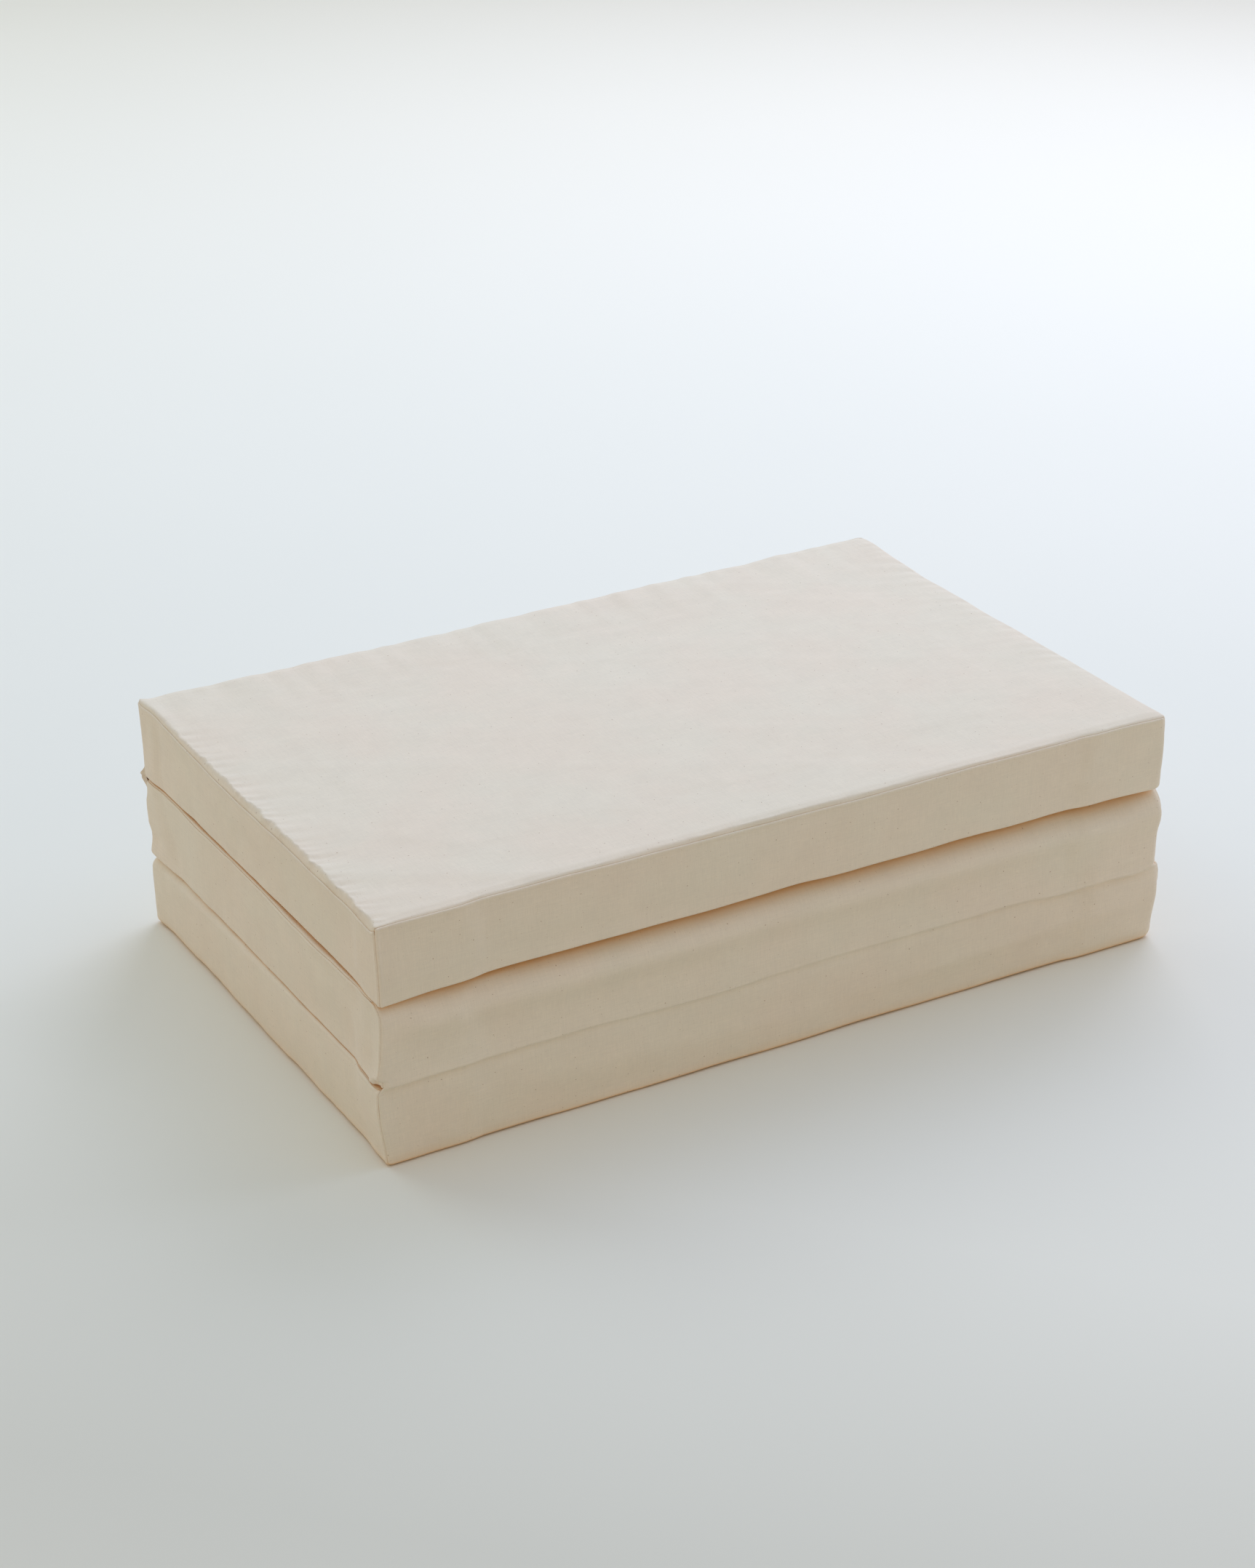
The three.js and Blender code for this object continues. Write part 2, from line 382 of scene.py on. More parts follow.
def settle_top(cushion, points, gaps):
    """The top cushion's face slopes to its left and front seams, and its back edge is wavy."""
    x, y = points[..., 0], points[..., 1]
    low, high = cushion.low, cushion.high
    move = np.zeros_like(points)
    move[..., 2] -= slope_at_left(cushion, y, gaps)
    # The middle of its front edge lies lower too, by less.
    fold = 1 + 0.4 * waves(x, 26 * MM, cushion.seed + 3)
    slope = 1 - ramp(gaps["front"], 0, 4 * MM * fold)
    slope = slope * (0.25 + 0.75 * hump(x, 0.0, 0.2)) * ramp(gaps["left"], 0, 40 * MM)
    move[..., 2] -= 3.6 * MM * slope * close_to(gaps, upper=50)
    # The face stands a little above its seams.
    full = ramp(gaps["left"], 0, 6 * MM) * ramp(gaps["front"], 0, 14 * MM)
    full = full * ramp(gaps["right"], 0, 20 * MM) * ramp(gaps["back"], 0, 14 * MM)
    move[..., 2] += 2.2 * MM * full * close_to(gaps, upper=50)
    # Its back edge is higher, and wavy.
    wave = 4.2 + 0.9 * waves(x, 46 * MM, cushion.seed + 4)
    wave += 0.8 * waves(x, 17 * MM, cushion.seed + 5)
    move[..., 2] += wave * MM * close_to(gaps, back=160, upper=50)
    # The upper left edge leans out.
    move[..., 0] -= 2.5 * MM * close_to(gaps, left=60, upper=80)
    # The lower front edge stands a little off the rounded edge under it, and hangs at the left.
    lift = 3.4 * ramp(x, low[0] + 0.02, low[0] + 0.22) * (1 - ramp(x, high[0] - 0.08, high[0]))
    lift -= 2.4 * close_to(gaps, left=60)
    lift += 1.1 * waves(x, 60 * MM, cushion.seed + 41)
    move[..., 2] += lift * MM * close_to(gaps, front=60, lower=45)
    # The lower left edge lifts along the back half, which shows a strip of the next cushion.
    lift = 0.9 * hump(y, -0.10, 0.12) - 1.6 * (1 - ramp(y, low[1], low[1] + 0.15))
    lift = lift * ramp(gaps["front"], 0, 60 * MM)
    move[..., 2] += lift * MM * close_to(gaps, left=60, lower=45)
    # The short right end is full.
    move[..., 0] += cushion.right_bulge(points, gaps, 8 * MM, "upper", 36 * MM, 70 * MM)
    # The filling shows less at the four upper corners.
    corner = close_to(gaps, left=30) + close_to(gaps, right=45)
    corner *= close_to(gaps, front=35) + close_to(gaps, back=45)
    corner -= 2 * close_to(gaps, left=16, back=16)
    move[..., 2] -= 1.6 * MM * corner * close_to(gaps, upper=50)
    return move


def left_sag(cushion, y):
    """How far the bottom cushion's upper left edge gives way under the middle cushion."""
    sag = 2.2 * MM + 2.8 * MM * ramp(y, 0.05, 0.28)
    return sag * ramp(y, cushion.low[1], cushion.low[1] + 0.12)


def crease_end(gaps, edge):
    """Round the open left end of the front crease, which ends at edge: the distance from that
    end, and 1 in the small hole beside it."""
    away = np.hypot(gaps["front"] * 0.65, gaps[edge])
    from_hole = np.hypot(gaps["front"] - 5 * MM, gaps[edge])
    return away, hump(from_hole, 0, 2 * MM)


def settle_middle(cushion, points, gaps):
    """The middle cushion is pressed back at its upper front edge, and leans out at the left."""
    x, y, z = (points[..., k] for k in range(3))
    low = cushion.low
    move = np.zeros_like(points)
    move[..., 0] -= 6 * MM * close_to(gaps, left=60, front=90, lower=80)
    # It stands out on the left of the cushion above it, most near the front.
    out = 0.5 + 4 * hump(y, -0.13, 0.13) + 1.5 * hump(y, 0.16, 0.05)
    out = out * ramp(gaps["lower"], -20 * MM, 70 * MM)
    move[..., 0] -= out * MM * close_to(gaps, left=60)
    # Its back left corner is soft, and wavy from top to bottom.
    wavy = 2.4 * waves(z, 20 * MM, cushion.seed + 44) - 1
    move[..., 0] += wavy * MM * close_to(gaps, left=50, back=70)
    sag = 1.4 * (1 - ramp(y, low[1], low[1] + 0.22)) + 0.2
    move[..., 2] -= sag * MM * close_to(gaps, left=50, upper=40)
    # Its lower left edge hangs over the rounded edge of the bottom cushion.
    hang = 0.9 * left_sag(cushion, y) + 0.8 * MM
    hang += 0.7 * MM * waves(y, 70 * MM, cushion.seed + 42)
    hang = hang * ramp(gaps["front"], 2 * MM, 22 * MM)
    move[..., 2] -= hang * close_to(gaps, left=40, lower=45)
    # At the open end of the front crease a fold curls out over a small hole.
    at_left = close_to(gaps, left=25)
    away, hole = crease_end(gaps, "lower")
    curl = 2.4 * hump(away, 12 * MM, 3 * MM) - 3.4 * (1 - ramp(away, 7 * MM, 10 * MM))
    move[..., 0] -= (curl - 3.0 * hole) * MM * at_left
    move[..., 2] += 0.9 * MM * hole * at_left
    move[..., 0] += cushion.right_bulge(points, gaps, 8 * MM, "upper", 20 * MM, 85 * MM)
    # The front swells under the top cushion's edge, and is hollow below that.
    along = 1 + 0.35 * waves(x, 160 * MM, cushion.seed + 43)
    swell = 3.8 * hump(gaps["upper"], 30 * MM, 15 * MM) - 2.4 * hump(gaps["upper"], 58 * MM, 15 * MM)
    swell = swell * along * ramp(gaps["left"], 0, 0.05)
    move[..., 1] -= swell * MM * close_to(gaps, front=60)
    # The front edge under the top cushion is pressed down and back.
    press = close_to(gaps, front=45, upper=40)
    press *= ramp(x, low[0], low[0] + 0.09) * ramp(gaps["right"], 0, 0.06)
    move[..., 2] -= 3 * MM * press
    move[..., 1] += 6 * MM * press
    return move


def settle_bottom(cushion, points, gaps):
    """The bottom cushion is full in the middle of its walls, and sags at its upper left edge."""
    y = points[..., 1]
    move = np.zeros_like(points)
    # The left wall is full in the middle of its height, most near the front.
    out = (5 - 3.5 * ramp(y, -0.1, 0.2)) * hump(gaps["lower"], 55 * MM, 45 * MM)
    move[..., 0] -= out * MM * close_to(gaps, left=60)
    move[..., 0] += cushion.right_bulge(points, gaps, 9 * MM, "lower", 74 * MM, 50 * MM)
    move[..., 0] -= 5 * MM * close_to(gaps, left=60, front=90, upper=80)
    away, hole = crease_end(gaps, "upper")
    hollow = 2.4 * (1 - ramp(away, 0, 5 * MM)) + 2.5 * hole
    move[..., 0] += hollow * MM * close_to(gaps, left=25)
    move[..., 2] -= 0.7 * MM * hole * close_to(gaps, left=25)
    # The upper left edge gives way under the middle cushion, most at the back.
    move[..., 2] -= left_sag(cushion, y) * close_to(gaps, left=45, upper=40)
    # The front wall is a little full.
    move[..., 1] -= 1.4 * MM * close_to(gaps, front=60) * hump(gaps["lower"], 50 * MM, 30 * MM)
    return move


SETTLING = {"top": settle_top, "middle": settle_middle, "bottom": settle_bottom}


# ---- mesh helpers ----


def plane_axes(face):
    """The two axes along a face."""
    return [k for k in range(3) if k != FACES[face][0]]


def side_faces(face):
    """The faces beyond a face's four sides: low and high along each of its two axes."""
    sides = []
    for axis in plane_axes(face):
        for sign in (-1, 1):
            sides.append(next(f for f, spot in FACES.items() if spot == (axis, sign)))
    return sides


def stations(low, high, step):
    """Places from low to high, close together at both ends."""
    start = low + FINE_STATIONS
    end = (high - FINE_STATIONS)[::-1]
    count = max(2, int(round((end[0] - start[-1]) / step)))
    between = np.linspace(start[-1], end[0], count + 1)[1:-1]
    return np.concatenate([start, between, end])


def make_mesh(name, points, faces, uv=None, flat_faces=0):
    """A mesh object with smooth faces, but for the last flat_faces of them."""
    faces = np.asarray(faces, np.int32)
    mesh = bpy.data.meshes.new(name)
    mesh.vertices.add(len(points))
    mesh.vertices.foreach_set("co", np.asarray(points, np.float32).ravel())
    corners = faces.shape[1]
    mesh.loops.add(faces.size)
    mesh.loops.foreach_set("vertex_index", faces.ravel())
    mesh.polygons.add(len(faces))
    mesh.polygons.foreach_set("loop_start", np.arange(0, faces.size, corners, dtype=np.int32))
    mesh.polygons.foreach_set("loop_total", np.full(len(faces), corners, np.int32))
    smooth = np.ones(len(faces), bool)
    if flat_faces:
        smooth[-flat_faces:] = False
    mesh.polygons.foreach_set("use_smooth", smooth)
    if uv is not None:
        layer = mesh.uv_layers.new(name="cloth")
        layer.data.foreach_set("uv", np.asarray(uv, np.float32)[faces.ravel()].ravel())
    mesh.update(calc_edges=True)
    mesh.validate()
    piece = bpy.data.objects.new(name, mesh)
    bpy.context.scene.collection.objects.link(piece)
    return piece


def grid_faces(rows, columns):
    """Quads of a grid of points, numbered row by row."""
    index = np.arange(rows * columns).reshape(rows, columns)
    corners = (index[:-1, :-1], index[1:, :-1], index[1:, 1:], index[:-1, 1:])
    return np.stack([c.ravel() for c in corners], axis=1)


def grid_normals(grid):
    """Unit normals of a curved grid of points."""
    along = np.gradient(grid, axis=0)
    across = np.gradient(grid, axis=1)
    normals = np.cross(along, across)
    return normals / np.maximum(np.linalg.norm(normals, axis=2, keepdims=True), 1e-12)


def cloth_piece(name, grid, uv, outward, thickness=CLOTH):
    """A closed sheet with an even thickness, from the grid of its middle surface."""
    rows, columns = grid.shape[:2]
    normals = grid_normals(grid)
    centre = normals[rows // 2, columns // 2]
    if centre @ outward < 0:
        grid, uv, normals = grid[:, ::-1], uv[:, ::-1], -normals[:, ::-1]
    outer = (grid + normals * thickness / 2).reshape(-1, 3)
    inner = (grid - normals * thickness / 2).reshape(-1, 3)
    count = rows * columns
    faces = grid_faces(rows, columns)
    index = np.arange(count).reshape(rows, columns)
    rim = np.concatenate([
        index[:-1, 0], index[-1, :-1], index[:0:-1, -1], index[0, :0:-1],
    ])
    following = np.roll(rim, -1)
    edge = np.stack([rim, rim + count, following + count, following], axis=1)
    every = np.concatenate([faces, faces[:, ::-1] + count, edge[:, ::-1]])
    points = np.concatenate([outer, inner])
    flat_uv = uv.reshape(-1, 2)
    return make_mesh(name, points, every, np.concatenate([flat_uv, flat_uv]), len(edge))


# ---- cover panels ----

LIP_DEPTHS = {
    "seam": np.array([ALLOWANCE, 0.45 * ALLOWANCE, 0.75 * MM]),
    "tuck": np.array([ALLOWANCE, 0.5 * ALLOWANCE, 1 * MM]),
    "hem": np.array([HEM]),
}


def flat_grid(u_spots, v_spots):
    """Pairs of coordinates on the flat cloth, for its UVs."""
    return np.stack(np.meshgrid(u_spots, v_spots, indexing="ij"), axis=2)


def lip_moves(kind, face, beyond):
    """The shift of a panel's edge for its seam, and the direction in which its lip goes."""
    own = normal(face)
    other = normal(beyond)
    if kind == "seam":
        return SEAM_HALF * (own - other) / math.sqrt(2), -(own + other) / math.sqrt(2)
    return -(TUCK_BEHIND if kind == "tuck" else CLOTH / 2) * other, -own


def with_lips(values, kinds):
    """Stations with the lips' rows added at both ends, and each row's depth in either lip."""
    low = LIP_DEPTHS[kinds[0]]
    high = LIP_DEPTHS[kinds[1]][::-1]
    spots = np.concatenate([
        np.full(len(low), values[0]), values, np.full(len(high), values[-1])])
    depth_low = np.concatenate([low, np.zeros(len(values) + len(high))])
    depth_high = np.concatenate([np.zeros(len(low) + len(values)), high])
    return spots, depth_low, depth_high


def lipped(face, kinds, u_values, v_values, surface):
    """The grid of a panel's middle surface with its lips. surface gives the points of a grid."""
    u_spots, u_low, u_high = with_lips(u_values, kinds[:2])
    v_spots, v_low, v_high = with_lips(v_values, kinds[2:])
    grid = surface(u_spots, v_spots)
    uv = flat_grid(u_spots - u_low + u_high, v_spots - v_low + v_high)
    sides = side_faces(face)
    rows = ((u_spots, u_low, u_values[0]), (u_spots, u_high, u_values[-1]),
            (v_spots, v_low, v_values[0]), (v_spots, v_high, v_values[-1]))
    for k, (spots, depth, end) in enumerate(rows):
        shift, inward = lip_moves(kinds[k], face, sides[k])
        move = np.where(spots == end, 1.0, 0.0)[:, None] * shift + depth[:, None] * inward
        grid = grid + (move[:, None, :] if k < 2 else move[None, :, :])
    return grid, uv


def sharp_grid(cushion, face, u_spots, v_spots):
    """A grid of points on one face of the sharp box."""
    axis, sign = FACES[face]
    i, j = plane_axes(face)
    points = np.zeros((len(u_spots), len(v_spots), 3))
    points[..., axis] = cushion.high[axis] if sign > 0 else cushion.low[axis]
    points[..., i] = u_spots[:, None]
    points[..., j] = v_spots[None, :]
    return points


def panel_surface(cushion, face, detail):
    """A function that gives the shaped points of a grid of one face of a cushion."""
    def surface(u_spots, v_spots):
        sharp = sharp_grid(cushion, face, u_spots, v_spots)
        grid = cushion.place(sharp) + cushion.full_at(face, u_spots, v_spots)
        return grid + detail(cushion, face, sharp)[..., None] * normal(face)

    return surface


# ---- details of the panels: folds, puckers and welts, along each panel's normal ----


# A row of puckers: the edge that they run in from, the axis along it, how far from the low and
# high ends of that axis the row stops, their spacing, their seed, their depth, half width and
# reach, and their lean. Lengths are in millimetres.
Row = namedtuple("Row", "edge along start stop spacing seed depth half reach lean")

FACE_LEFT_ROWS = (
    Row("left", "y", 20, 80, 19, 72, 2.3, 3.0, 22, -0.30),
    Row("left", "y", 10, 60, 8, 73, 1.4, 1.9, 12, -0.22),
    Row("left", "y", 30, 100, 52, 78, 1.3, 9, 60, -0.15),
)
FACE_RIGHT_ROWS = (
    Row("right", "y", 20, 0, 22, 76, 2.0, 4.5, 30, 0.35),
)
FACE_OTHER_ROWS = (
    Row("back", "x", 0, 0, 26, 74, 1.6, 6, 24, 0.20),
    Row("front", "x", 20, 0, 40, 75, 0.7, 6, 20, 0.30),
)
TOP_FRONT_ROWS = (
    Row("right", "z", 12, 10, 17, 80, 1.1, 4, 45, -0.06),
    Row("left", "z", 12, 10, 24, 81, 0.5, 4, 22, 0.10),
)
SIDE_ROWS = (
    Row("front", "z", 15, 10, 20, 83, 0.9, 4, 24, 0.15),
    Row("back", "z", 15, 10, 20, 83, 1.0, 4.5, 26, -0.15),
    Row("upper", "y", 20, 20, 45, 84, 0.6, 8, 16, 0),
    Row("lower", "y", 20, 20, 45, 84, 0.7, 9, 18, 0),
)


def puckers(cushion, points, rows):
    """Short folds that run from a panel's seams into it, unevenly spaced along each row."""
    gaps = cushion.distances(points)
    total = np.zeros(points.shape[:2])
    for row in rows:
        axis = "xyz".index(row.along)
        along = points[..., axis]
        across = gaps[row.edge]
        fade = np.exp(-across / (row.reach * MM)) * ramp(across, 1 * MM, 7 * MM)
        spread = row.half * MM * (1 + across / (row.reach * MM))
        start = cushion.low[axis] + row.start * MM
        end = cushion.high[axis] - row.stop * MM
        for place, size in scattered(start, end, row.spacing * MM, cushion.seed + row.seed):
            shape = hump(along - row.lean * across, place, spread)
            total -= row.depth * MM * size * shape * fade
    return total


def scattered(start, end, spacing, seed):
    """Places from start to end with an uneven spacing, each with a size from 0.5 to 1."""
    random = np.random.default_rng(seed)
    places = []
    spot = start
    while spot < end:
        places.append((spot, random.uniform(0.5, 1.0)))
        spot += spacing * random.uniform(0.65, 1.35)
    return places


def welt(across, height, width):
    """The low band that a seam allowance raises beside its seam."""
    return height * ramp(across, 0, 1.2 * MM) * (1 - ramp(across, width, width + 3 * MM))


def plain_detail(cushion, face, points):
    """Slow hills and hollows of a panel, which end at its seams."""
    gaps = cushion.distances(points)
    i, j = plane_axes(face)
    inside = np.ones(points.shape[:2])
    for beyond in side_faces(face):
        inside = inside * ramp(gaps[beyond], 0, 22 * MM)
    seed = cushion.seed + 50 + list(FACES).index(face)
    u, v = points[..., i], points[..., j]
    if face in ("upper", "lower"):
        slow = soft_noise(u, v, 190 * MM, 150 * MM, seed)
        fine = soft_noise(u, v, 60 * MM, 45 * MM, seed + 7)
        if (cushion.name, face) == ("top", "upper"):
            return (0.9 * slow + 0.3 * fine - 0.4) * MM * inside
        return -(0.5 * np.abs(slow) + 0.3 * np.abs(fine)) * MM * inside
    slow = soft_noise(u, v, 230 * MM, 52 * MM, seed)
    fine = soft_noise(u, v, 75 * MM, 26 * MM, seed + 7)
    return (1.4 * slow + 0.45 * fine) * MM * inside


def top_face_detail(cushion, face, points):
    """The face that shows: drawn up in puckers along its left edge, and fainter ones round it."""
    gaps = cushion.distances(points)
    total = plain_detail(cushion, face, points)
    total += puckers(cushion, points, FACE_LEFT_ROWS) * ramp(gaps["back"], 0.02, 0.2)
    total += puckers(cushion, points, FACE_RIGHT_ROWS) * ramp(gaps["front"], 0.02, 0.25)
    return total + puckers(cushion, points, FACE_OTHER_ROWS)


def top_front_detail(cushion, face, points):
    """Smooth, with a welt under its upper seam and short level folds at its right end."""
    gaps = cushion.distances(points)
    total = plain_detail(cushion, face, points) * 0.8
    total += welt(gaps["upper"], 0.7 * MM, 3.5 * MM)
    total += welt(gaps["left"], 0.5 * MM, 3 * MM)
    return total + puckers(cushion, points, TOP_FRONT_ROWS)


def side_detail(cushion, face, points):
    """A wall with a welt beside its corner seams and faint folds from them."""
    gaps = cushion.distances(points)
    total = plain_detail(cushion, face, points)
    total += welt(gaps["front"], 0.6 * MM, 3.5 * MM)
    from_corners = np.minimum(*(gaps[beyond] for beyond in side_faces(face)[:2]))
    total += welt(gaps["upper"], 0.5 * MM, 3 * MM) * ramp(from_corners, 0, 8 * MM)
    total += puckers(cushion, points, SIDE_ROWS)
    if face == "right":
        total = total * cushion.off_zip(points[..., 2])
    return total


DETAILS = {
    ("top", "upper"): top_face_detail,
    ("top", "front"): top_front_detail,
}


def detail_of(cushion, face):
    """The function that gives a panel's detail."""
    if (cushion.name, face) in DETAILS:
        return DETAILS[cushion.name, face]
    if face in ("left", "right", "front", "back"):
        return side_detail
    return plain_detail


# The panels that end behind a shared wall: cushion, wall and panel.
SHARED_EDGES = {
    ("bottom", "front", "upper"),
    ("middle", "front", "lower"),
    ("middle", "back", "upper"),
    ("top", "back", "lower"),
}
SHOWN = {("top", "upper"), ("top", "front"), ("top", "left"), ("middle", "left"),
         ("bottom", "left")}


def kinds_of(cushion, face):
    """How each side of a panel ends: in a seam, or tucked behind a shared wall."""
    kinds = []
    for beyond in side_faces(face):
        shared = (cushion.name, beyond, face) in SHARED_EDGES
        kinds.append("tuck" if shared else "seam")
    return kinds


def puckered_stations(u_range, v_range):
    """Stations for the face that shows: close enough for the puckers along its left edge."""
    u_values = stations(*u_range, 7 * MM)
    start = u_range[0] + FINE_STATIONS[-1]
    close = np.arange(start + PUCKER_STEP, u_range[0] + 80 * MM, PUCKER_STEP)
    before = u_values[u_values <= start]
    beyond = u_values[u_values > close[-1] + MM]
    return np.concatenate([before, close, beyond]), stations(*v_range, PUCKER_STEP)


def panel(cushion, face, label, u_range=None, v_range=None, kinds=None):
    """One cover panel as a piece that rides on its cushion and replaces its CAD node."""
    i, j = plane_axes(face)
    step = PANEL_STEP if (cushion.name, face) in SHOWN else HIDDEN_STEP
    u_range = u_range or (cushion.low[i], cushion.high[i])
    v_range = v_range or (cushion.low[j], cushion.high[j])
    u_values = stations(*u_range, step)
    v_values = stations(*v_range, min(step, 8 * MM) if j == 2 else step)
    if (cushion.name, face) == ("top", "upper"):
        u_values, v_values = puckered_stations(u_range, v_range)
    surface = panel_surface(cushion, face, detail_of(cushion, face))
    grid, uv = lipped(face, kinds or kinds_of(cushion, face), u_values, v_values, surface)
    uv = uv + cushion.seed * 0.01 + list(FACES).index(face) * 1.3
    piece = cloth_piece(f"{cushion.name}_{label}_cloth", grid, uv, normal(face))
    finish_cloth(piece, calico)
    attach(piece, cushion.name)
    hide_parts(f"{cushion.name}_{label}")


def finish_cloth(piece, material):
    piece.data.materials.append(material)


# ---- the walls that are one cloth over two cushions ----


def crease_profile(face, x, height):
    """How far a shared wall stands out at a height above its crease."""
    if face == "front":
        size = 0.8 + 0.8 * hump(x, -0.45, 0.12) + 0.6 * hump(x, 0.42, 0.14)
        size = size + 0.3 * waves(x, 55 * MM, 901)
        over = ramp(height, -3 * MM, 1.2 * MM)
        lip = 1.7 * MM * np.exp(-np.maximum(height, 0) / (10 * MM)) * over
        under = 2.4 * MM * np.exp(-np.maximum(-height, 0) / (7 * MM)) * (1 - over)
        return size * (lip - under)
    loop = 5.5 * MM + 4 * MM * hump(x, -0.5, 0.06)
    return loop * hump(height, 0, 8.5 * MM)


def crease_height(face, x):
    """How far the crease runs above or below the gap between its cushions."""
    wave = 1.3 * waves(x, 85 * MM, 903) + 0.5 * waves(x, 30 * MM, 904)
    if face == "front":
        wave = wave - 5 * hump(x, 0.36, 0.035) - 3 * hump(x, 0.47, 0.02) - 2 * hump(x, -0.12, 0.1)
    return wave * MM


# Long soft folds of the shared front wall: from and to, as x and z, then height and half width.
FRONT_FOLDS = (
    ((0.20, 0.118), (0.50, 0.150), 1.5 * MM, 9 * MM),
    ((-0.10, 0.128), (0.24, 0.116), 1.0 * MM, 9 * MM),
    ((0.10, 0.040), (0.50, 0.058), 1.3 * MM, 8 * MM),
    ((-0.45, 0.140), (-0.20, 0.152), 0.9 * MM, 10 * MM),
    ((-0.30, 0.052), (0.05, 0.036), 0.9 * MM, 11 * MM),
    ((0.42, 0.082), (0.50, 0.078), 1.6 * MM, 5 * MM),
)


def long_folds(x, z):
    """How far FRONT_FOLDS raise the shared front wall."""
    total = np.zeros_like(x)
    for (x0, z0), (x1, z1), height, half in FRONT_FOLDS:
        share = (x - x0) / (x1 - x0)
        line = z0 + share * (z1 - z0)
        ends = ramp(share, -0.15, 0.25) * (1 - ramp(share, 0.8, 1.15))
        total += height * ends * hump(z, line, half)
    return total


def crease_level(lower, upper):
    """The height halfway between two cushions."""
    return (lower.high[2] + upper.low[2]) / 2


def wall_surface(lower, upper, face):
    """A function that gives the shaped points of a wall over two cushions."""
    crease = crease_level(lower, upper)
    outward = normal(face)

    def move_of(cushion, x_spots, z_spots, folded_edge):
        """How far one of the cushions moves the wall, which doesn't round its folded edge."""
        inside = np.clip(z_spots, cushion.low[2], cushion.high[2])
        sharp = sharp_grid(cushion, face, x_spots, inside)
        shaped = cushion.place(sharp, (folded_edge,)) + cushion.full_at(face, x_spots, inside)
        return shaped - sharp + side_detail(cushion, face, sharp)[..., None] * outward

    def surface(x_spots, z_spots):
        below = move_of(lower, x_spots, z_spots, (face, "upper"))
        above = move_of(upper, x_spots, z_spots, (face, "lower"))
        from_end = np.minimum(x_spots - lower.low[0], lower.high[0] - x_spots)
        least = 0.1 if face == "front" else 0.8
        reach = (CREASE_REACH * (least + (1 - least) * ramp(from_end, 0, 35 * MM)))[:, None]
        share = ramp(z_spots[None, :], crease - reach, crease + reach)[..., None]
        sharp = sharp_grid(lower, face, x_spots, z_spots)
        x, z = sharp[..., 0], sharp[..., 2]
        out = crease_profile(face, x, z - crease - crease_height(face, x))
        grid = sharp + below * (1 - share) + above * share
        if face == "front":
            out = out * ramp(x - lower.low[0], 0, 8 * MM) + long_folds(x, z)
        else:
            # The tube of cloth at this fold sticks out at its left end.
            end = near(x - lower.low[0], 25 * MM) * hump(z, crease, 9 * MM)
            grid[..., 0] -= 5 * MM * end
        return grid + out[..., None] * outward

    return surface


def wall_stations(lower, upper):
    """Heights of a shared wall's rows: close at its seams and over its crease."""
    over = crease_level(lower, upper) + np.arange(-14, 14.1, 1.0) * MM
    below = stations(lower.low[2], over[0], PANEL_STEP)[:-len(FINE_STATIONS)]
    above = stations(over[-1], upper.high[2], PANEL_STEP)[len(FINE_STATIONS):]
    below = below[below < over[0] - 2 * MM]
    above = above[above > over[-1] + 2 * MM]
    return np.concatenate([below, over, above])


def shared_wall(lower, upper, face):
    """One cloth over two cushions, in place of two CAD walls, that bends over their fold."""
    x_values = stations(lower.low[0], lower.high[0], PANEL_STEP if face == "front" else 9 * MM)
    z_values = wall_stations(lower, upper)
    surface = wall_surface(lower, upper, face)
    grid, uv = lipped(face, ["seam"] * 4, x_values, z_values, surface)
    uv = uv + 3.7 + lower.seed * 0.01
    piece = cloth_piece(f"{lower.name}_{upper.name}_{face}_wall_cloth", grid, uv, normal(face))
    finish_cloth(piece, calico)
    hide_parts(f"{lower.name}_{face}_wall", f"{upper.name}_{face}_wall")
    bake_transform(piece)


# ---- the filling ----


def box_lattice(counts):
    """Points on the surface of a unit box, and its quads facing out."""
    numbers = {}
    points = []
    faces = []

    def number(spot):
        if spot not in numbers:
            numbers[spot] = len(points)
            points.append([spot[k] / counts[k] for k in range(3)])
        return numbers[spot]

    for face, (axis, sign) in FACES.items():
        i, j = plane_axes(face)
        turn = sign * (1 if axis != 1 else -1)
        for a in range(counts[i]):
            for b in range(counts[j]):
                quad = []
                for da, db in ((0, 0), (1, 0), (1, 1), (0, 1)):
                    spot = [0, 0, 0]
                    spot[axis] = counts[axis] if sign > 0 else 0
                    spot[i] = a + da
                    spot[j] = b + db
                    quad.append(number(tuple(spot)))
                faces.append(quad if turn > 0 else quad[::-1])
    return np.array(points), np.array(faces)


def filling_piece(cushion, label, low, high, rounding, material):
    """A block of filling with rounded edges, which follows the cover from inside."""
    counts = (66, 42, max(2, int((high[2] - low[2]) / (9 * MM))))
    unit, faces = box_lattice(counts)
    sharp = low + unit * (high - low)
    middle = (low + high) / 2
    core = (high - low) / 2 - rounding
    nearest = np.clip(sharp - middle, -core, core)
    away = sharp - middle - nearest
    length = np.linalg.norm(away, axis=1, keepdims=True)
    rounded = middle + nearest + away * np.minimum(rounding / np.maximum(length, 1e-9), 1)
    points = cushion.place(rounded) + cushion.full_near(rounded)
    dimple = soft_noise(rounded[:, 0], rounded[:, 1], 14 * MM, 14 * MM, cushion.seed + 90)
    points[:, 2] += 0.15 * MM * dimple
    piece = make_mesh(f"{cushion.name}_{label}_filling", points, faces)
    piece.data.materials.append(material)
    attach(piece, cushion.name)
    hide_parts(f"{cushion.name}_{label}")


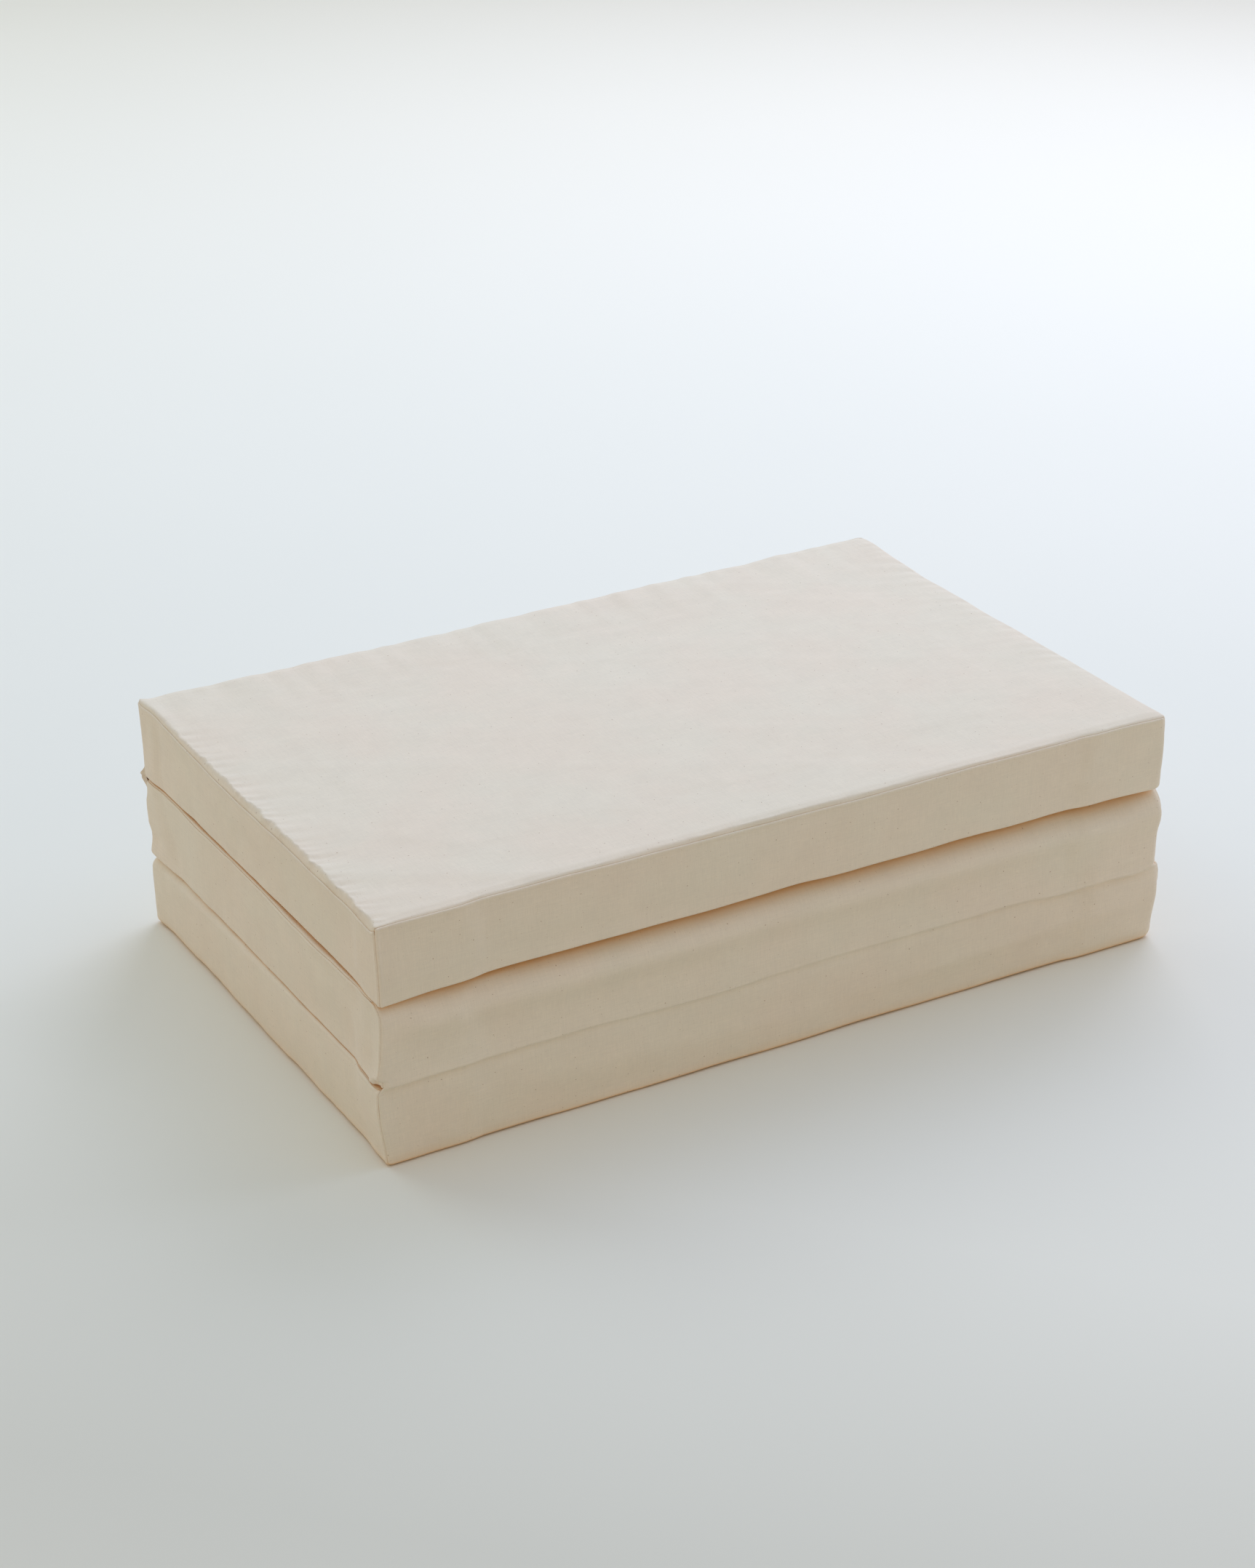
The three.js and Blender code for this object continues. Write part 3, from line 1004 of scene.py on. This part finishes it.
def filling(cushion):
    """The foam core and the felt over and under it, which stays clear of the cover."""
    for label, inset, rounding, material, slot_name in (
        ("foam_core", FILLING_INSET, 9 * MM, foam, "foam"),
        ("upper_felt", FELT_INSET, 1.9 * MM, cotton_felt, "cotton_felt"),
        ("lower_felt", FELT_INSET, 1.9 * MM, cotton_felt, "cotton_felt"),
    ):
        box_low, box_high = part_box(f"{cushion.name}_{label}")
        low = np.append(cushion.low[:2] + inset, box_low.z)
        high = np.append(cushion.high[:2] - inset, box_high.z)
        if label == "upper_felt":
            high[2] -= FELT_CLEARANCE
        if label == "lower_felt":
            low[2] += FELT_CLEARANCE
        filling_piece(cushion, label, low, high, rounding, material)


# ---- fullness by cloth simulation ----


def seam_weights(unit):
    """1 on the edges of the box, where the cover is sewn, and less just beside them."""
    from_side = np.sort(np.minimum(unit, 1 - unit) * np.array([80, 52, 8]), axis=1)
    return np.clip(1 - from_side[:, 1] / 2, 0, 1)


def add_cloth(cover, seams):
    """A cloth that is blown up a little while its seams draw up."""
    group = cover.vertex_groups.new(name="seams")
    for index, weight in enumerate(seams):
        if weight > 0:
            group.add([index], float(weight), "REPLACE")
    settings = cover.modifiers.new("cloth", "CLOTH").settings
    settings.quality = 5
    settings.mass = 0.2
    settings.tension_stiffness = 20
    settings.compression_stiffness = 20
    settings.shear_stiffness = 8
    settings.bending_stiffness = 0.8
    settings.use_pressure = True
    settings.uniform_pressure_force = 2.5
    settings.vertex_group_shrink = "seams"
    settings.shrink_min = 0.0
    settings.shrink_max = 0.03
    settings.effector_weights.gravity = 0


def settled_points(cover):
    """Where the cloth's points are after the simulation's last frame."""
    scene = bpy.context.scene
    for number in range(1, SIM_FRAMES + 1):
        scene.frame_set(number)
    bpy.context.view_layer.update()
    settled = cover.evaluated_get(bpy.context.evaluated_depsgraph_get())
    points = np.empty(len(settled.data.vertices) * 3)
    settled.data.vertices.foreach_get("co", points)
    scene.frame_set(1)
    return points.reshape(-1, 3)


def simulate_fullness(cushion):
    """Simulates a closed cover over the cushion, and keeps how far each face fills out."""
    size = cushion.high - cushion.low
    counts = tuple(int(round(s / SIM_STEP)) for s in size)
    unit, faces = box_lattice(counts)
    start = cushion.place(cushion.low + unit * size)
    cover = make_mesh(f"{cushion.name}_fullness", start, faces)
    add_cloth(cover, seam_weights(unit))
    move = settled_points(cover) - start
    bpy.data.objects.remove(cover)
    for axis, cap in SIM_CAP.items():
        # Take out the even shrinkage, and keep the fullness that it brings.
        offset = start[:, axis] - start[:, axis].mean()
        shrinkage = offset * (move[:, axis] @ offset) / (offset @ offset)
        move[:, axis] -= move[:, axis].mean() + shrinkage
        move[:, axis] = cap * np.tanh(move[:, axis] / (2 * cap))
    # A face that lies on something, or under it, doesn't fill out.
    if cushion.name != "top":
        at_top = unit[:, 2] == 1
        move[at_top, 2] = np.minimum(move[at_top, 2], 0)
    at_bottom = unit[:, 2] == 0
    move[at_bottom, 2] = np.maximum(move[at_bottom, 2], 0)
    spots = np.rint(unit * np.array(counts)).astype(int)
    cushion.fullness = {}
    for face, (axis, sign) in FACES.items():
        i, j = plane_axes(face)
        on = spots[:, axis] == (counts[axis] if sign > 0 else 0)
        values = np.zeros((counts[i] + 1, counts[j] + 1, 3))
        values[spots[on, i], spots[on, j]] = move[on]
        if face == "right":
            heights = np.linspace(cushion.low[2], cushion.high[2], counts[2] + 1)
            values *= cushion.off_zip(heights)[None, :, None]
        cushion.fullness[face] = values


# ---- zips ----


def wall_move(cushion, y_spots, z_spots):
    """How far the zipped wall has moved at each place along it and each height."""
    shaped = panel_surface(cushion, "right", side_detail)(y_spots, z_spots)
    return shaped - sharp_grid(cushion, "right", y_spots, z_spots)


TAPE_THICKNESS = 0.5 * MM
TAPE_STEP = 6 * MM


def zip_tape(cushion, side):
    """A tape that follows the wall that it is sewn behind."""
    node = f"{cushion.name}_zip_tape_{side}"
    low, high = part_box(node)
    y_spots = np.arange(low.y, high.y + 1e-6, TAPE_STEP)
    z_spots = np.linspace(low.z, high.z, 9)
    grid = sharp_grid(cushion, "right", y_spots, z_spots)
    grid[..., 0] = (low.x + high.x) / 2
    grid += wall_move(cushion, y_spots, z_spots)
    uv = flat_grid(y_spots, z_spots)
    piece = cloth_piece(f"{node}_cloth", grid, uv, normal("right"), TAPE_THICKNESS)
    finish_cloth(piece, tape_cloth)
    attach(piece, cushion.name)
    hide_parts(node)


COIL_PITCH = 2.4 * MM
TOOTH = 0.42 * MM  # radius of the coil's wire


def coil_loop(side):
    """Half a turn of the coil as a row of ring centres, for a tooth at y = 0."""
    sign = 1 if side == "upper" else -1
    return np.array([
        (0.0, -0.5 * MM, sign * 2.2 * MM),
        (0.75 * MM, -0.25 * MM, sign * 1.6 * MM),
        (0.95 * MM, 0.0, sign * 0.5 * MM),
        (0.75 * MM, 0.25 * MM, sign * -0.15 * MM),
        (0.1 * MM, 0.5 * MM, sign * 0.2 * MM),
    ])


def tube_mesh(path, radius, sides=6):
    """Rings of points round a path, and closed faces: quads, with two quads at either end."""
    path = np.asarray(path, float)
    tangent = np.gradient(path, axis=0)
    tangent /= np.linalg.norm(tangent, axis=1, keepdims=True)
    helper = np.array([0.0, 1.0, 0.0])
    first = np.cross(tangent, helper)
    first /= np.maximum(np.linalg.norm(first, axis=1, keepdims=True), 1e-9)
    second = np.cross(tangent, first)
    angle = np.arange(sides) * 2 * math.pi / sides
    ring = np.cos(angle)[None, :, None] * first[:, None, :]
    ring = ring + np.sin(angle)[None, :, None] * second[:, None, :]
    scale = np.ones(len(path))
    scale[[0, -1]] = 0.7
    points = (path[:, None, :] + radius * scale[:, None, None] * ring).reshape(-1, 3)
    faces = []
    for row in range(len(path) - 1):
        for k in range(sides):
            following = (k + 1) % sides
            a, b = row * sides, (row + 1) * sides
            faces.append([a + k, b + k, b + following, a + following])
    last = (len(path) - 1) * sides
    for a in range(0, sides - 2, 2):
        faces.append([0, a + 1, a + 2, (a + 3) % sides])
        faces.append([last + (a + 3) % sides, last + a + 2, last + a + 1, last])
    return points, np.array(faces)


def zip_coil(cushion, side):
    """The coil's teeth, one beside the other along the zip."""
    node = f"{cushion.name}_zip_coil_{side}"
    low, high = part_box(node)
    shift = 0.0 if side == "upper" else COIL_PITCH / 2
    places = np.arange(low.y + COIL_PITCH, high.y - COIL_PITCH, COIL_PITCH) + shift
    move = wall_move(cushion, places, cushion.middle[2:])[:, 0, :]
    tooth, faces = tube_mesh(coil_loop(side), TOOTH)
    base = np.array([low.x + 0.35 * MM, 0.0, cushion.middle[2]])
    every_point = []
    every_face = []
    for number, place in enumerate(places):
        every_point.append(tooth + base + (0, place, 0) + move[number])
        every_face.append(faces + number * len(tooth))
    piece = make_mesh(f"{node}_teeth", np.concatenate(every_point), np.concatenate(every_face))
    piece.data.materials.append(coil_plastic)
    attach(piece, cushion.name)
    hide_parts(node)


def softened_copy(cushion, label, width, body):
    """A CAD part of the zip with its edges bevelled, moved out with the wall that it is on."""
    node = f"{cushion.name}_{label}"
    piece = bpy.data.objects.new(f"{node}_metal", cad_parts[node].data.copy())
    bpy.context.scene.collection.objects.link(piece)
    low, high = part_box(node)
    place = np.array([(low.y + high.y) / 2])
    shift = wall_move(cushion, place, cushion.middle[2:])[0, 0]
    piece.data.transform(Matrix.Translation(Vector((shift[0], 0, shift[2]))))
    piece.data.materials.clear()
    piece.data.materials.append(zip_metal)
    weld = piece.modifiers.new("weld", "WELD")
    weld.merge_threshold = 0.02 * MM
    bevel = piece.modifiers.new("bevel", "BEVEL")
    bevel.width = width
    bevel.segments = 3
    bevel.limit_method = "ANGLE"
    bevel.angle_limit = math.radians(30)
    bpy.context.view_layer.update()
    bevelled = piece.evaluated_get(bpy.context.evaluated_depsgraph_get())
    shaped = bpy.data.meshes.new_from_object(bevelled)
    piece.modifiers.clear()
    piece.data = shaped
    piece.data.shade_smooth()
    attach(piece, body)
    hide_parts(node)


def zipped_wall(cushion):
    """The right wall: a strip above the zip and one below it, and the zip between them."""
    name = cushion.name
    for label, side_kinds in (("right_wall_upper", ("hem", "seam")),
                              ("right_wall_lower", ("seam", "hem"))):
        low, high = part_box(f"{name}_{label}")
        z_range = (low.z, cushion.high[2]) if label.endswith("upper") else (cushion.low[2], high.z)
        panel(cushion, "right", label, v_range=z_range, kinds=["seam", "seam", *side_kinds])
    for side in ("upper", "lower"):
        zip_tape(cushion, side)
        zip_coil(cushion, side)
    softened_copy(cushion, "zip_stop_front", 0.2 * MM, name)
    softened_copy(cushion, "zip_stop_back", 0.2 * MM, name)
    softened_copy(cushion, "zip_slider", 0.3 * MM, f"{name}_slider")
    softened_copy(cushion, "zip_pull", 0.25 * MM, f"{name}_pull")


# ---- materials ----


class Nodes:
    """Short ways to add and link shader nodes of one material."""

    def __init__(self, name):
        self.material = bpy.data.materials.new(name)
        self.material.use_nodes = True
        self.tree = self.material.node_tree
        self.shader = self.tree.nodes["Principled BSDF"]

    def add(self, kind, inputs=None, **settings):
        node = self.tree.nodes.new(kind)
        for key, value in settings.items():
            setattr(node, key, value)
        for key, value in (inputs or {}).items():
            self.put(node.inputs[key], value)
        return node

    def put(self, socket, value):
        if isinstance(value, bpy.types.NodeSocket):
            self.tree.links.new(value, socket)
        else:
            socket.default_value = value

    def math(self, operation, *values):
        node = self.add("ShaderNodeMath", operation=operation)
        for socket, value in zip(node.inputs, values):
            self.put(socket, value)
        return node.outputs[0]

    def stretched(self, source, scale):
        """Coordinates scaled by a different amount along each axis."""
        node = self.add("ShaderNodeMapping", {"Vector": source, "Scale": scale})
        return node.outputs["Vector"]

    def noise(self, vector, scale, detail=3.0, roughness=0.55):
        node = self.add("ShaderNodeTexNoise", {
            "Vector": vector, "Scale": scale, "Detail": detail, "Roughness": roughness})
        return node.outputs["Fac"]

    def level(self, value, low, high, new_low=0.0, new_high=1.0):
        """value between low and high, spread to new_low and new_high."""
        node = self.add("ShaderNodeMapRange", {
            "Value": value, "From Min": low, "From Max": high, "To Min": new_low,
            "To Max": new_high})
        return node.outputs["Result"]

    def mix(self, share, first, second):
        node = self.add("ShaderNodeMix", data_type="RGBA")
        self.put(node.inputs[0], share)
        self.put(node.inputs[6], first)
        self.put(node.inputs[7], second)
        return node.outputs[2]

    def scaled(self, colour, share):
        node = self.add("ShaderNodeVectorMath", {0: colour}, operation="SCALE")
        self.put(node.inputs["Scale"], share)
        return node.outputs["Vector"]

    def place(self):
        """Coordinates of the piece itself, in metres."""
        return self.add("ShaderNodeTexCoord").outputs["Object"]

    def cloth(self):
        """Coordinates along and across the cut cloth, in metres."""
        return self.add("ShaderNodeUVMap", uv_map="cloth").outputs["UV"]

    def bump(self, height, distance, strength, before=None):
        node = self.add("ShaderNodeBump", {
            "Height": height, "Distance": distance, "Strength": strength})
        if before is not None:
            self.put(node.inputs["Normal"], before)
        return node.outputs["Normal"]

    def finish(self, colour, roughness, bump=None, **others):
        """Sets the shader: others are its other inputs, named with _ for a space."""
        self.put(self.shader.inputs["Base Color"], colour)
        self.put(self.shader.inputs["Roughness"], roughness)
        if bump is not None:
            self.put(self.shader.inputs["Normal"], bump)
        for name, value in others.items():
            self.put(self.shader.inputs[name.replace("_", " ")], value)
        return self.material


def specks(nodes, flat, cell, share, size, seed):
    """1 inside small irregular flecks, in a share of the cells of a flat pattern."""
    moved = nodes.add("ShaderNodeMapping", {
        "Vector": flat, "Location": (seed * 0.37, seed * 0.61, 0.0)}).outputs["Vector"]
    wobble = nodes.noise(moved, 1400.0, 1.0)
    cells = nodes.add("ShaderNodeTexVoronoi", {"Vector": moved, "Scale": 1 / cell},
                      voronoi_dimensions="2D")
    chosen = nodes.add("ShaderNodeSeparateColor", {"Color": cells.outputs["Color"]})
    keep = nodes.level(chosen.outputs[0], 0.0, share, 1.0, 0.0)
    keep = nodes.math("POWER", keep, 2.2)
    reach = nodes.math("MULTIPLY", keep, size / cell)
    spread = nodes.math("MULTIPLY", reach, nodes.level(wobble, 0.3, 0.7, 0.45, 1.6))
    inside = nodes.math("SUBTRACT", spread, cells.outputs["Distance"])
    return nodes.level(inside, 0.0, 0.16 * size / cell)


def make_calico():
    """Unbleached plain weave: uneven threads, cotton-seed flecks, a slow warm mottle, and painted
    warm shade in its folds and gaps.
    """
    nodes = Nodes("calico")
    flat = nodes.cloth()
    warp_threads = nodes.noise(nodes.stretched(flat, (1750.0, 95.0, 1.0)), 1.0, 2.0)
    weft_threads = nodes.noise(nodes.stretched(flat, (95.0, 1750.0, 1.0)), 1.0, 2.0)
    threads = nodes.math("ADD", warp_threads, weft_threads)
    slubs_a = nodes.noise(nodes.stretched(flat, (420.0, 22.0, 1.0)), 1.0, 2.0)
    slubs_b = nodes.noise(nodes.stretched(flat, (22.0, 420.0, 1.0)), 1.0, 2.0)
    slubs = nodes.math("ADD", slubs_a, slubs_b)
    mottle = nodes.noise(flat, 7.0, 3.0)
    cloud = nodes.noise(flat, 26.0, 2.0)

    warm = (0.787, 0.679, 0.530, 1.0)
    cool = (0.775, 0.688, 0.538, 1.0)
    colour = nodes.mix(nodes.level(mottle, 0.38, 0.62), warm, cool)
    shade = nodes.level(threads, 0.7, 1.3, 0.955, 1.035)
    shade = nodes.math("MULTIPLY", shade, nodes.level(slubs, 0.7, 1.3, 0.975, 1.02))
    shade = nodes.math("MULTIPLY", shade, nodes.level(cloud, 0.3, 0.7, 0.985, 1.015))
    colour = nodes.scaled(colour, shade)
    # Painted warm shade: sheltered folds and gaps are tinted orange, for light passed cloth to
    # cloth, warmer each time.
    open_air = nodes.add("ShaderNodeAmbientOcclusion", {"Distance": 32 * MM}, samples=8)
    painted_crevice_shade = nodes.level(open_air.outputs["AO"], 0.66, 0.10, 0.0, 0.92)
    colour = nodes.mix(painted_crevice_shade, colour, (0.84, 0.48, 0.17, 1.0))
    faint = specks(nodes, flat, 6 * MM, 0.7, 0.45 * MM, 3)
    colour = nodes.mix(nodes.math("MULTIPLY", faint, 0.38), colour, (0.40, 0.24, 0.12, 1.0))
    seeds = specks(nodes, flat, 16 * MM, 0.75, 0.72 * MM, 11)
    colour = nodes.mix(nodes.math("MULTIPLY", seeds, 0.58), colour, (0.30, 0.15, 0.06, 1.0))

    rough = nodes.level(threads, 0.7, 1.3, 0.86, 0.95)
    weave = nodes.bump(threads, 0.12 * MM, 0.55)
    creases = nodes.noise(nodes.stretched(flat, (30.0, 75.0, 1.0)), 1.0, 3.0)
    crumple = nodes.bump(creases, 0.9 * MM, 0.35, weave)
    bump = nodes.bump(slubs, 0.16 * MM, 0.35, crumple)
    return nodes.finish(colour, rough, bump, Specular_IOR_Level=0.2, Sheen_Weight=0.12,
                        Sheen_Roughness=0.5)


def make_foam():
    """Open-cell foam: pale yellow, with round pores and painted shade in them."""
    nodes = Nodes("foam")
    place = nodes.place()
    pores = nodes.add("ShaderNodeTexVoronoi", {"Vector": place, "Scale": 620.0})
    patch = nodes.noise(place, 9.0)
    colour = nodes.mix(nodes.level(patch, 0.35, 0.65), (0.80, 0.72, 0.47, 1), (0.84, 0.78, 0.56, 1))
    # Painted shade: each pore is darker towards its middle.
    pore_shade = nodes.level(pores.outputs["Distance"], 0.1, 0.55, 0.72, 1.0)
    bump = nodes.bump(pores.outputs["Distance"], 0.4 * MM, 0.6)
    return nodes.finish(nodes.scaled(colour, pore_shade), 0.92, bump)


def make_cotton_felt():
    """Carded cotton: off-white fibres that lie every way."""
    nodes = Nodes("cotton_felt")
    place = nodes.place()
    bent = nodes.noise(place, 60.0, 2.0)
    fibres_a = nodes.noise(nodes.stretched(place, (900.0, 110.0, 400.0)), 1.0, 3.0)
    fibres_b = nodes.noise(nodes.stretched(place, (130.0, 800.0, 400.0)), 1.0, 3.0)
    fibres = nodes.math("ADD", nodes.math("MULTIPLY", fibres_a, bent), fibres_b)
    colour = nodes.mix(nodes.level(fibres, 0.4, 1.0), (0.70, 0.65, 0.54, 1), (0.84, 0.81, 0.73, 1))
    flecks = nodes.noise(place, 260.0, 1.0)
    husk = nodes.level(flecks, 0.72, 0.76)
    colour = nodes.mix(nodes.math("MULTIPLY", husk, 0.5), colour, (0.30, 0.20, 0.11, 1))
    return nodes.finish(colour, 0.97, nodes.bump(fibres, 0.5 * MM, 0.7), Sheen_Weight=0.3)


def make_tape_cloth():
    """Woven tape, ribbed along the zip."""
    nodes = Nodes("zip_tape")
    flat = nodes.cloth()
    ribs = nodes.noise(nodes.stretched(flat, (60.0, 1900.0, 1.0)), 1.0, 2.0)
    picks = nodes.noise(nodes.stretched(flat, (1500.0, 150.0, 1.0)), 1.0, 1.0)
    cloth = nodes.math("ADD", ribs, picks)
    colour = nodes.mix(nodes.level(cloth, 0.7, 1.3), (0.65, 0.56, 0.43, 1), (0.76, 0.67, 0.53, 1))
    return nodes.finish(colour, 0.85, nodes.bump(cloth, 0.18 * MM, 0.8))


def make_coil_plastic():
    """Cream nylon, a little milky."""
    nodes = Nodes("coil_plastic")
    place = nodes.place()
    cloudy = nodes.noise(place, 90.0)
    colour = nodes.mix(cloudy, (0.72, 0.66, 0.53, 1), (0.80, 0.75, 0.63, 1))
    rough = nodes.level(cloudy, 0.3, 0.7, 0.3, 0.48)
    return nodes.finish(colour, rough, nodes.bump(nodes.noise(place, 900.0), 0.04 * MM, 0.3))


def make_zip_metal():
    """Zinc under cream lacquer, rubbed through to the metal in places."""
    nodes = Nodes("zip_metal")
    place = nodes.place()
    scuffs = nodes.noise(nodes.stretched(place, (700.0, 2600.0, 700.0)), 1.0, 4.0)
    worn = nodes.level(nodes.noise(place, 240.0), 0.60, 0.68)
    lacquer = nodes.mix(scuffs, (0.70, 0.61, 0.47, 1), (0.78, 0.70, 0.56, 1))
    colour = nodes.mix(worn, lacquer, (0.55, 0.52, 0.47, 1))
    rough = nodes.level(scuffs, 0.35, 0.65, 0.28, 0.5)
    return nodes.finish(colour, rough, nodes.bump(scuffs, 0.03 * MM, 0.5), Metallic=worn)


def make_paper():
    """Seamless backdrop paper, with painted shade in front of the object and to its left."""
    nodes = Nodes("paper")
    place = nodes.place()
    patch = nodes.noise(place, 0.9, 2.0)
    colour = nodes.mix(patch, (0.780, 0.764, 0.664, 1), (0.800, 0.780, 0.680, 1))
    # Painted shade: the paper is darker in front of the object and to its left, where less light
    # falls.
    toward = nodes.add("ShaderNodeVectorMath", {0: place, 1: (-0.75, -0.66, 0)},
                       operation="DOT_PRODUCT").outputs["Value"]
    painted_floor_shade = nodes.level(toward, 0.55, 1.15)
    colour = nodes.mix(painted_floor_shade, colour, (0.660, 0.647, 0.554, 1))
    return nodes.finish(colour, 0.75, Specular_IOR_Level=0.3)


# ---- camera, light and floor ----

# Angles in degrees. The camera stands CAMERA_DISTANCE from a point a little aside of the middle
# of the object and above it.
CAMERA_AZIMUTH = -28.85
CAMERA_ELEVATION = 25.67
CAMERA_ROLL = -0.98
CAMERA_DISTANCE = 3.958
CAMERA_ASIDE = -0.024
CAMERA_RAISED = 0.043
CAMERA_LENS = 76.98  # millimetres, for a sensor 36 mm on its long side


def make_camera():
    """The photograph's view of the object."""
    azimuth, elevation, roll = (
        math.radians(a) for a in (CAMERA_AZIMUTH, CAMERA_ELEVATION, CAMERA_ROLL))
    back = Vector((math.sin(azimuth) * math.cos(elevation),
                   -math.cos(azimuth) * math.cos(elevation), math.sin(elevation)))
    level = (-back).cross(Vector((0, 0, 1))).normalized()
    upright = level.cross(-back)
    right = math.cos(roll) * level + math.sin(roll) * upright
    up = -math.sin(roll) * level + math.cos(roll) * upright
    middle = Vector((0, 0, CAD_BOX[1].z / 2))
    place = middle + CAMERA_ASIDE * right + CAMERA_RAISED * up + CAMERA_DISTANCE * back
    data = bpy.data.cameras.new("camera")
    data.lens = CAMERA_LENS
    data.sensor_width = 36
    data.sensor_fit = "AUTO"
    camera = bpy.data.objects.new("camera", data)
    turn = Matrix((right, up, back)).transposed().to_4x4()
    camera.matrix_world = Matrix.Translation(place) @ turn
    bpy.context.scene.collection.objects.link(camera)
    bpy.context.scene.camera = camera


def soft_box(name, place, target, size, power, colour):
    """A rectangular light at place that faces target."""
    data = bpy.data.lights.new(name, "AREA")
    data.shape = "RECTANGLE"
    data.size, data.size_y = size
    data.energy = power
    data.color = colour
    light = bpy.data.objects.new(name, data)
    light.location = place
    light.rotation_euler = (Vector(target) - Vector(place)).to_track_quat("-Z", "Y").to_euler()
    bpy.context.scene.collection.objects.link(light)


# Each soft box: place, what it points at, width and height, watts and colour.
SOFT_BOXES = {
    "key": ((3.2, 2.8, 3.4), (0, 0, 0.1), (3.6, 3.6), 132, (0.76, 0.785, 1.0)),
    "overhead": ((0.3, 0.6, 3.6), (0, 0, 0.2), (4.5, 4.5), 39, (0.12, 0.48, 1.0)),
    "right": ((4.2, -0.4, 2.2), (0, 0, 0.1), (3.0, 2.6), 53, (0.66, 0.73, 1.0)),
    "left": ((-3.4, -0.6, 1.6), (0, 0, 0.15), (2.4, 1.8), 10, (1.0, 0.70, 0.37)),
    "front": ((1.0, -4.2, 2.2), (0, 0, 0.15), (3.4, 2.4), 9, (1.0, 0.60, 0.10)),
    "backdrop": ((-2.5, 6.0, 4.2), (-2.0, 5.5, 0), (4.0, 4.0), 124, (0.80, 0.935, 1.0)),
}


def make_light():
    """The soft boxes, and a dim even light from the room."""
    for name, (place, target, size, power, colour) in SOFT_BOXES.items():
        soft_box(name, place, target, size, power, colour)
    world = bpy.data.worlds.new("room")
    world.use_nodes = True
    background = world.node_tree.nodes["Background"]
    background.inputs["Color"].default_value = (1.0, 0.98, 0.97, 1)
    background.inputs["Strength"].default_value = 0.50
    bpy.context.scene.world = world
    bpy.context.scene.view_settings.view_transform = "Standard"


def make_floor():
    """Paper on the floor, which curves up far behind the object."""
    reach, start, height, radius = 9.0, 11.0, 5.0, 3.0
    turn = np.linspace(0, math.pi / 2, 13)
    profile = [(-reach, 0.0), (0.0, 0.0), (start, 0.0)]
    profile += [(start + radius * math.sin(a), radius * (1 - math.cos(a))) for a in turn[1:]]
    profile += [(start + radius, height)]
    azimuth = math.radians(CAMERA_AZIMUTH)
    away = np.array([-math.sin(azimuth), math.cos(azimuth), 0.0])
    aside = np.array([math.cos(azimuth), math.sin(azimuth), 0.0])
    points = []
    for side in (-reach, reach):
        for along, up in profile:
            points.append(away * along + aside * side + np.array([0, 0, up]))
    count = len(profile)
    faces = [[k, k + count, k + count + 1, k + 1] for k in range(count - 1)]
    floor = make_mesh("floor", np.array(points), faces)
    floor.data.materials.append(make_paper())


# ---- build ----

make_camera()
calico = make_calico()
foam = make_foam()
cotton_felt = make_cotton_felt()
tape_cloth = make_tape_cloth()
coil_plastic = make_coil_plastic()
zip_metal = make_zip_metal()

cushions = {name: Cushion(name) for name in CUSHIONS}
for cushion in cushions.values():
    simulate_fullness(cushion)

for cushion in cushions.values():
    panel(cushion, "upper", "upper_panel")
    panel(cushion, "lower", "lower_panel")
    panel(cushion, "left", "left_wall")
    zipped_wall(cushion)
    filling(cushion)

shared_wall(cushions["bottom"], cushions["middle"], "front")
shared_wall(cushions["middle"], cushions["top"], "back")
panel(cushions["bottom"], "back", "back_wall")
panel(cushions["top"], "front", "front_wall")

make_light()
make_floor()
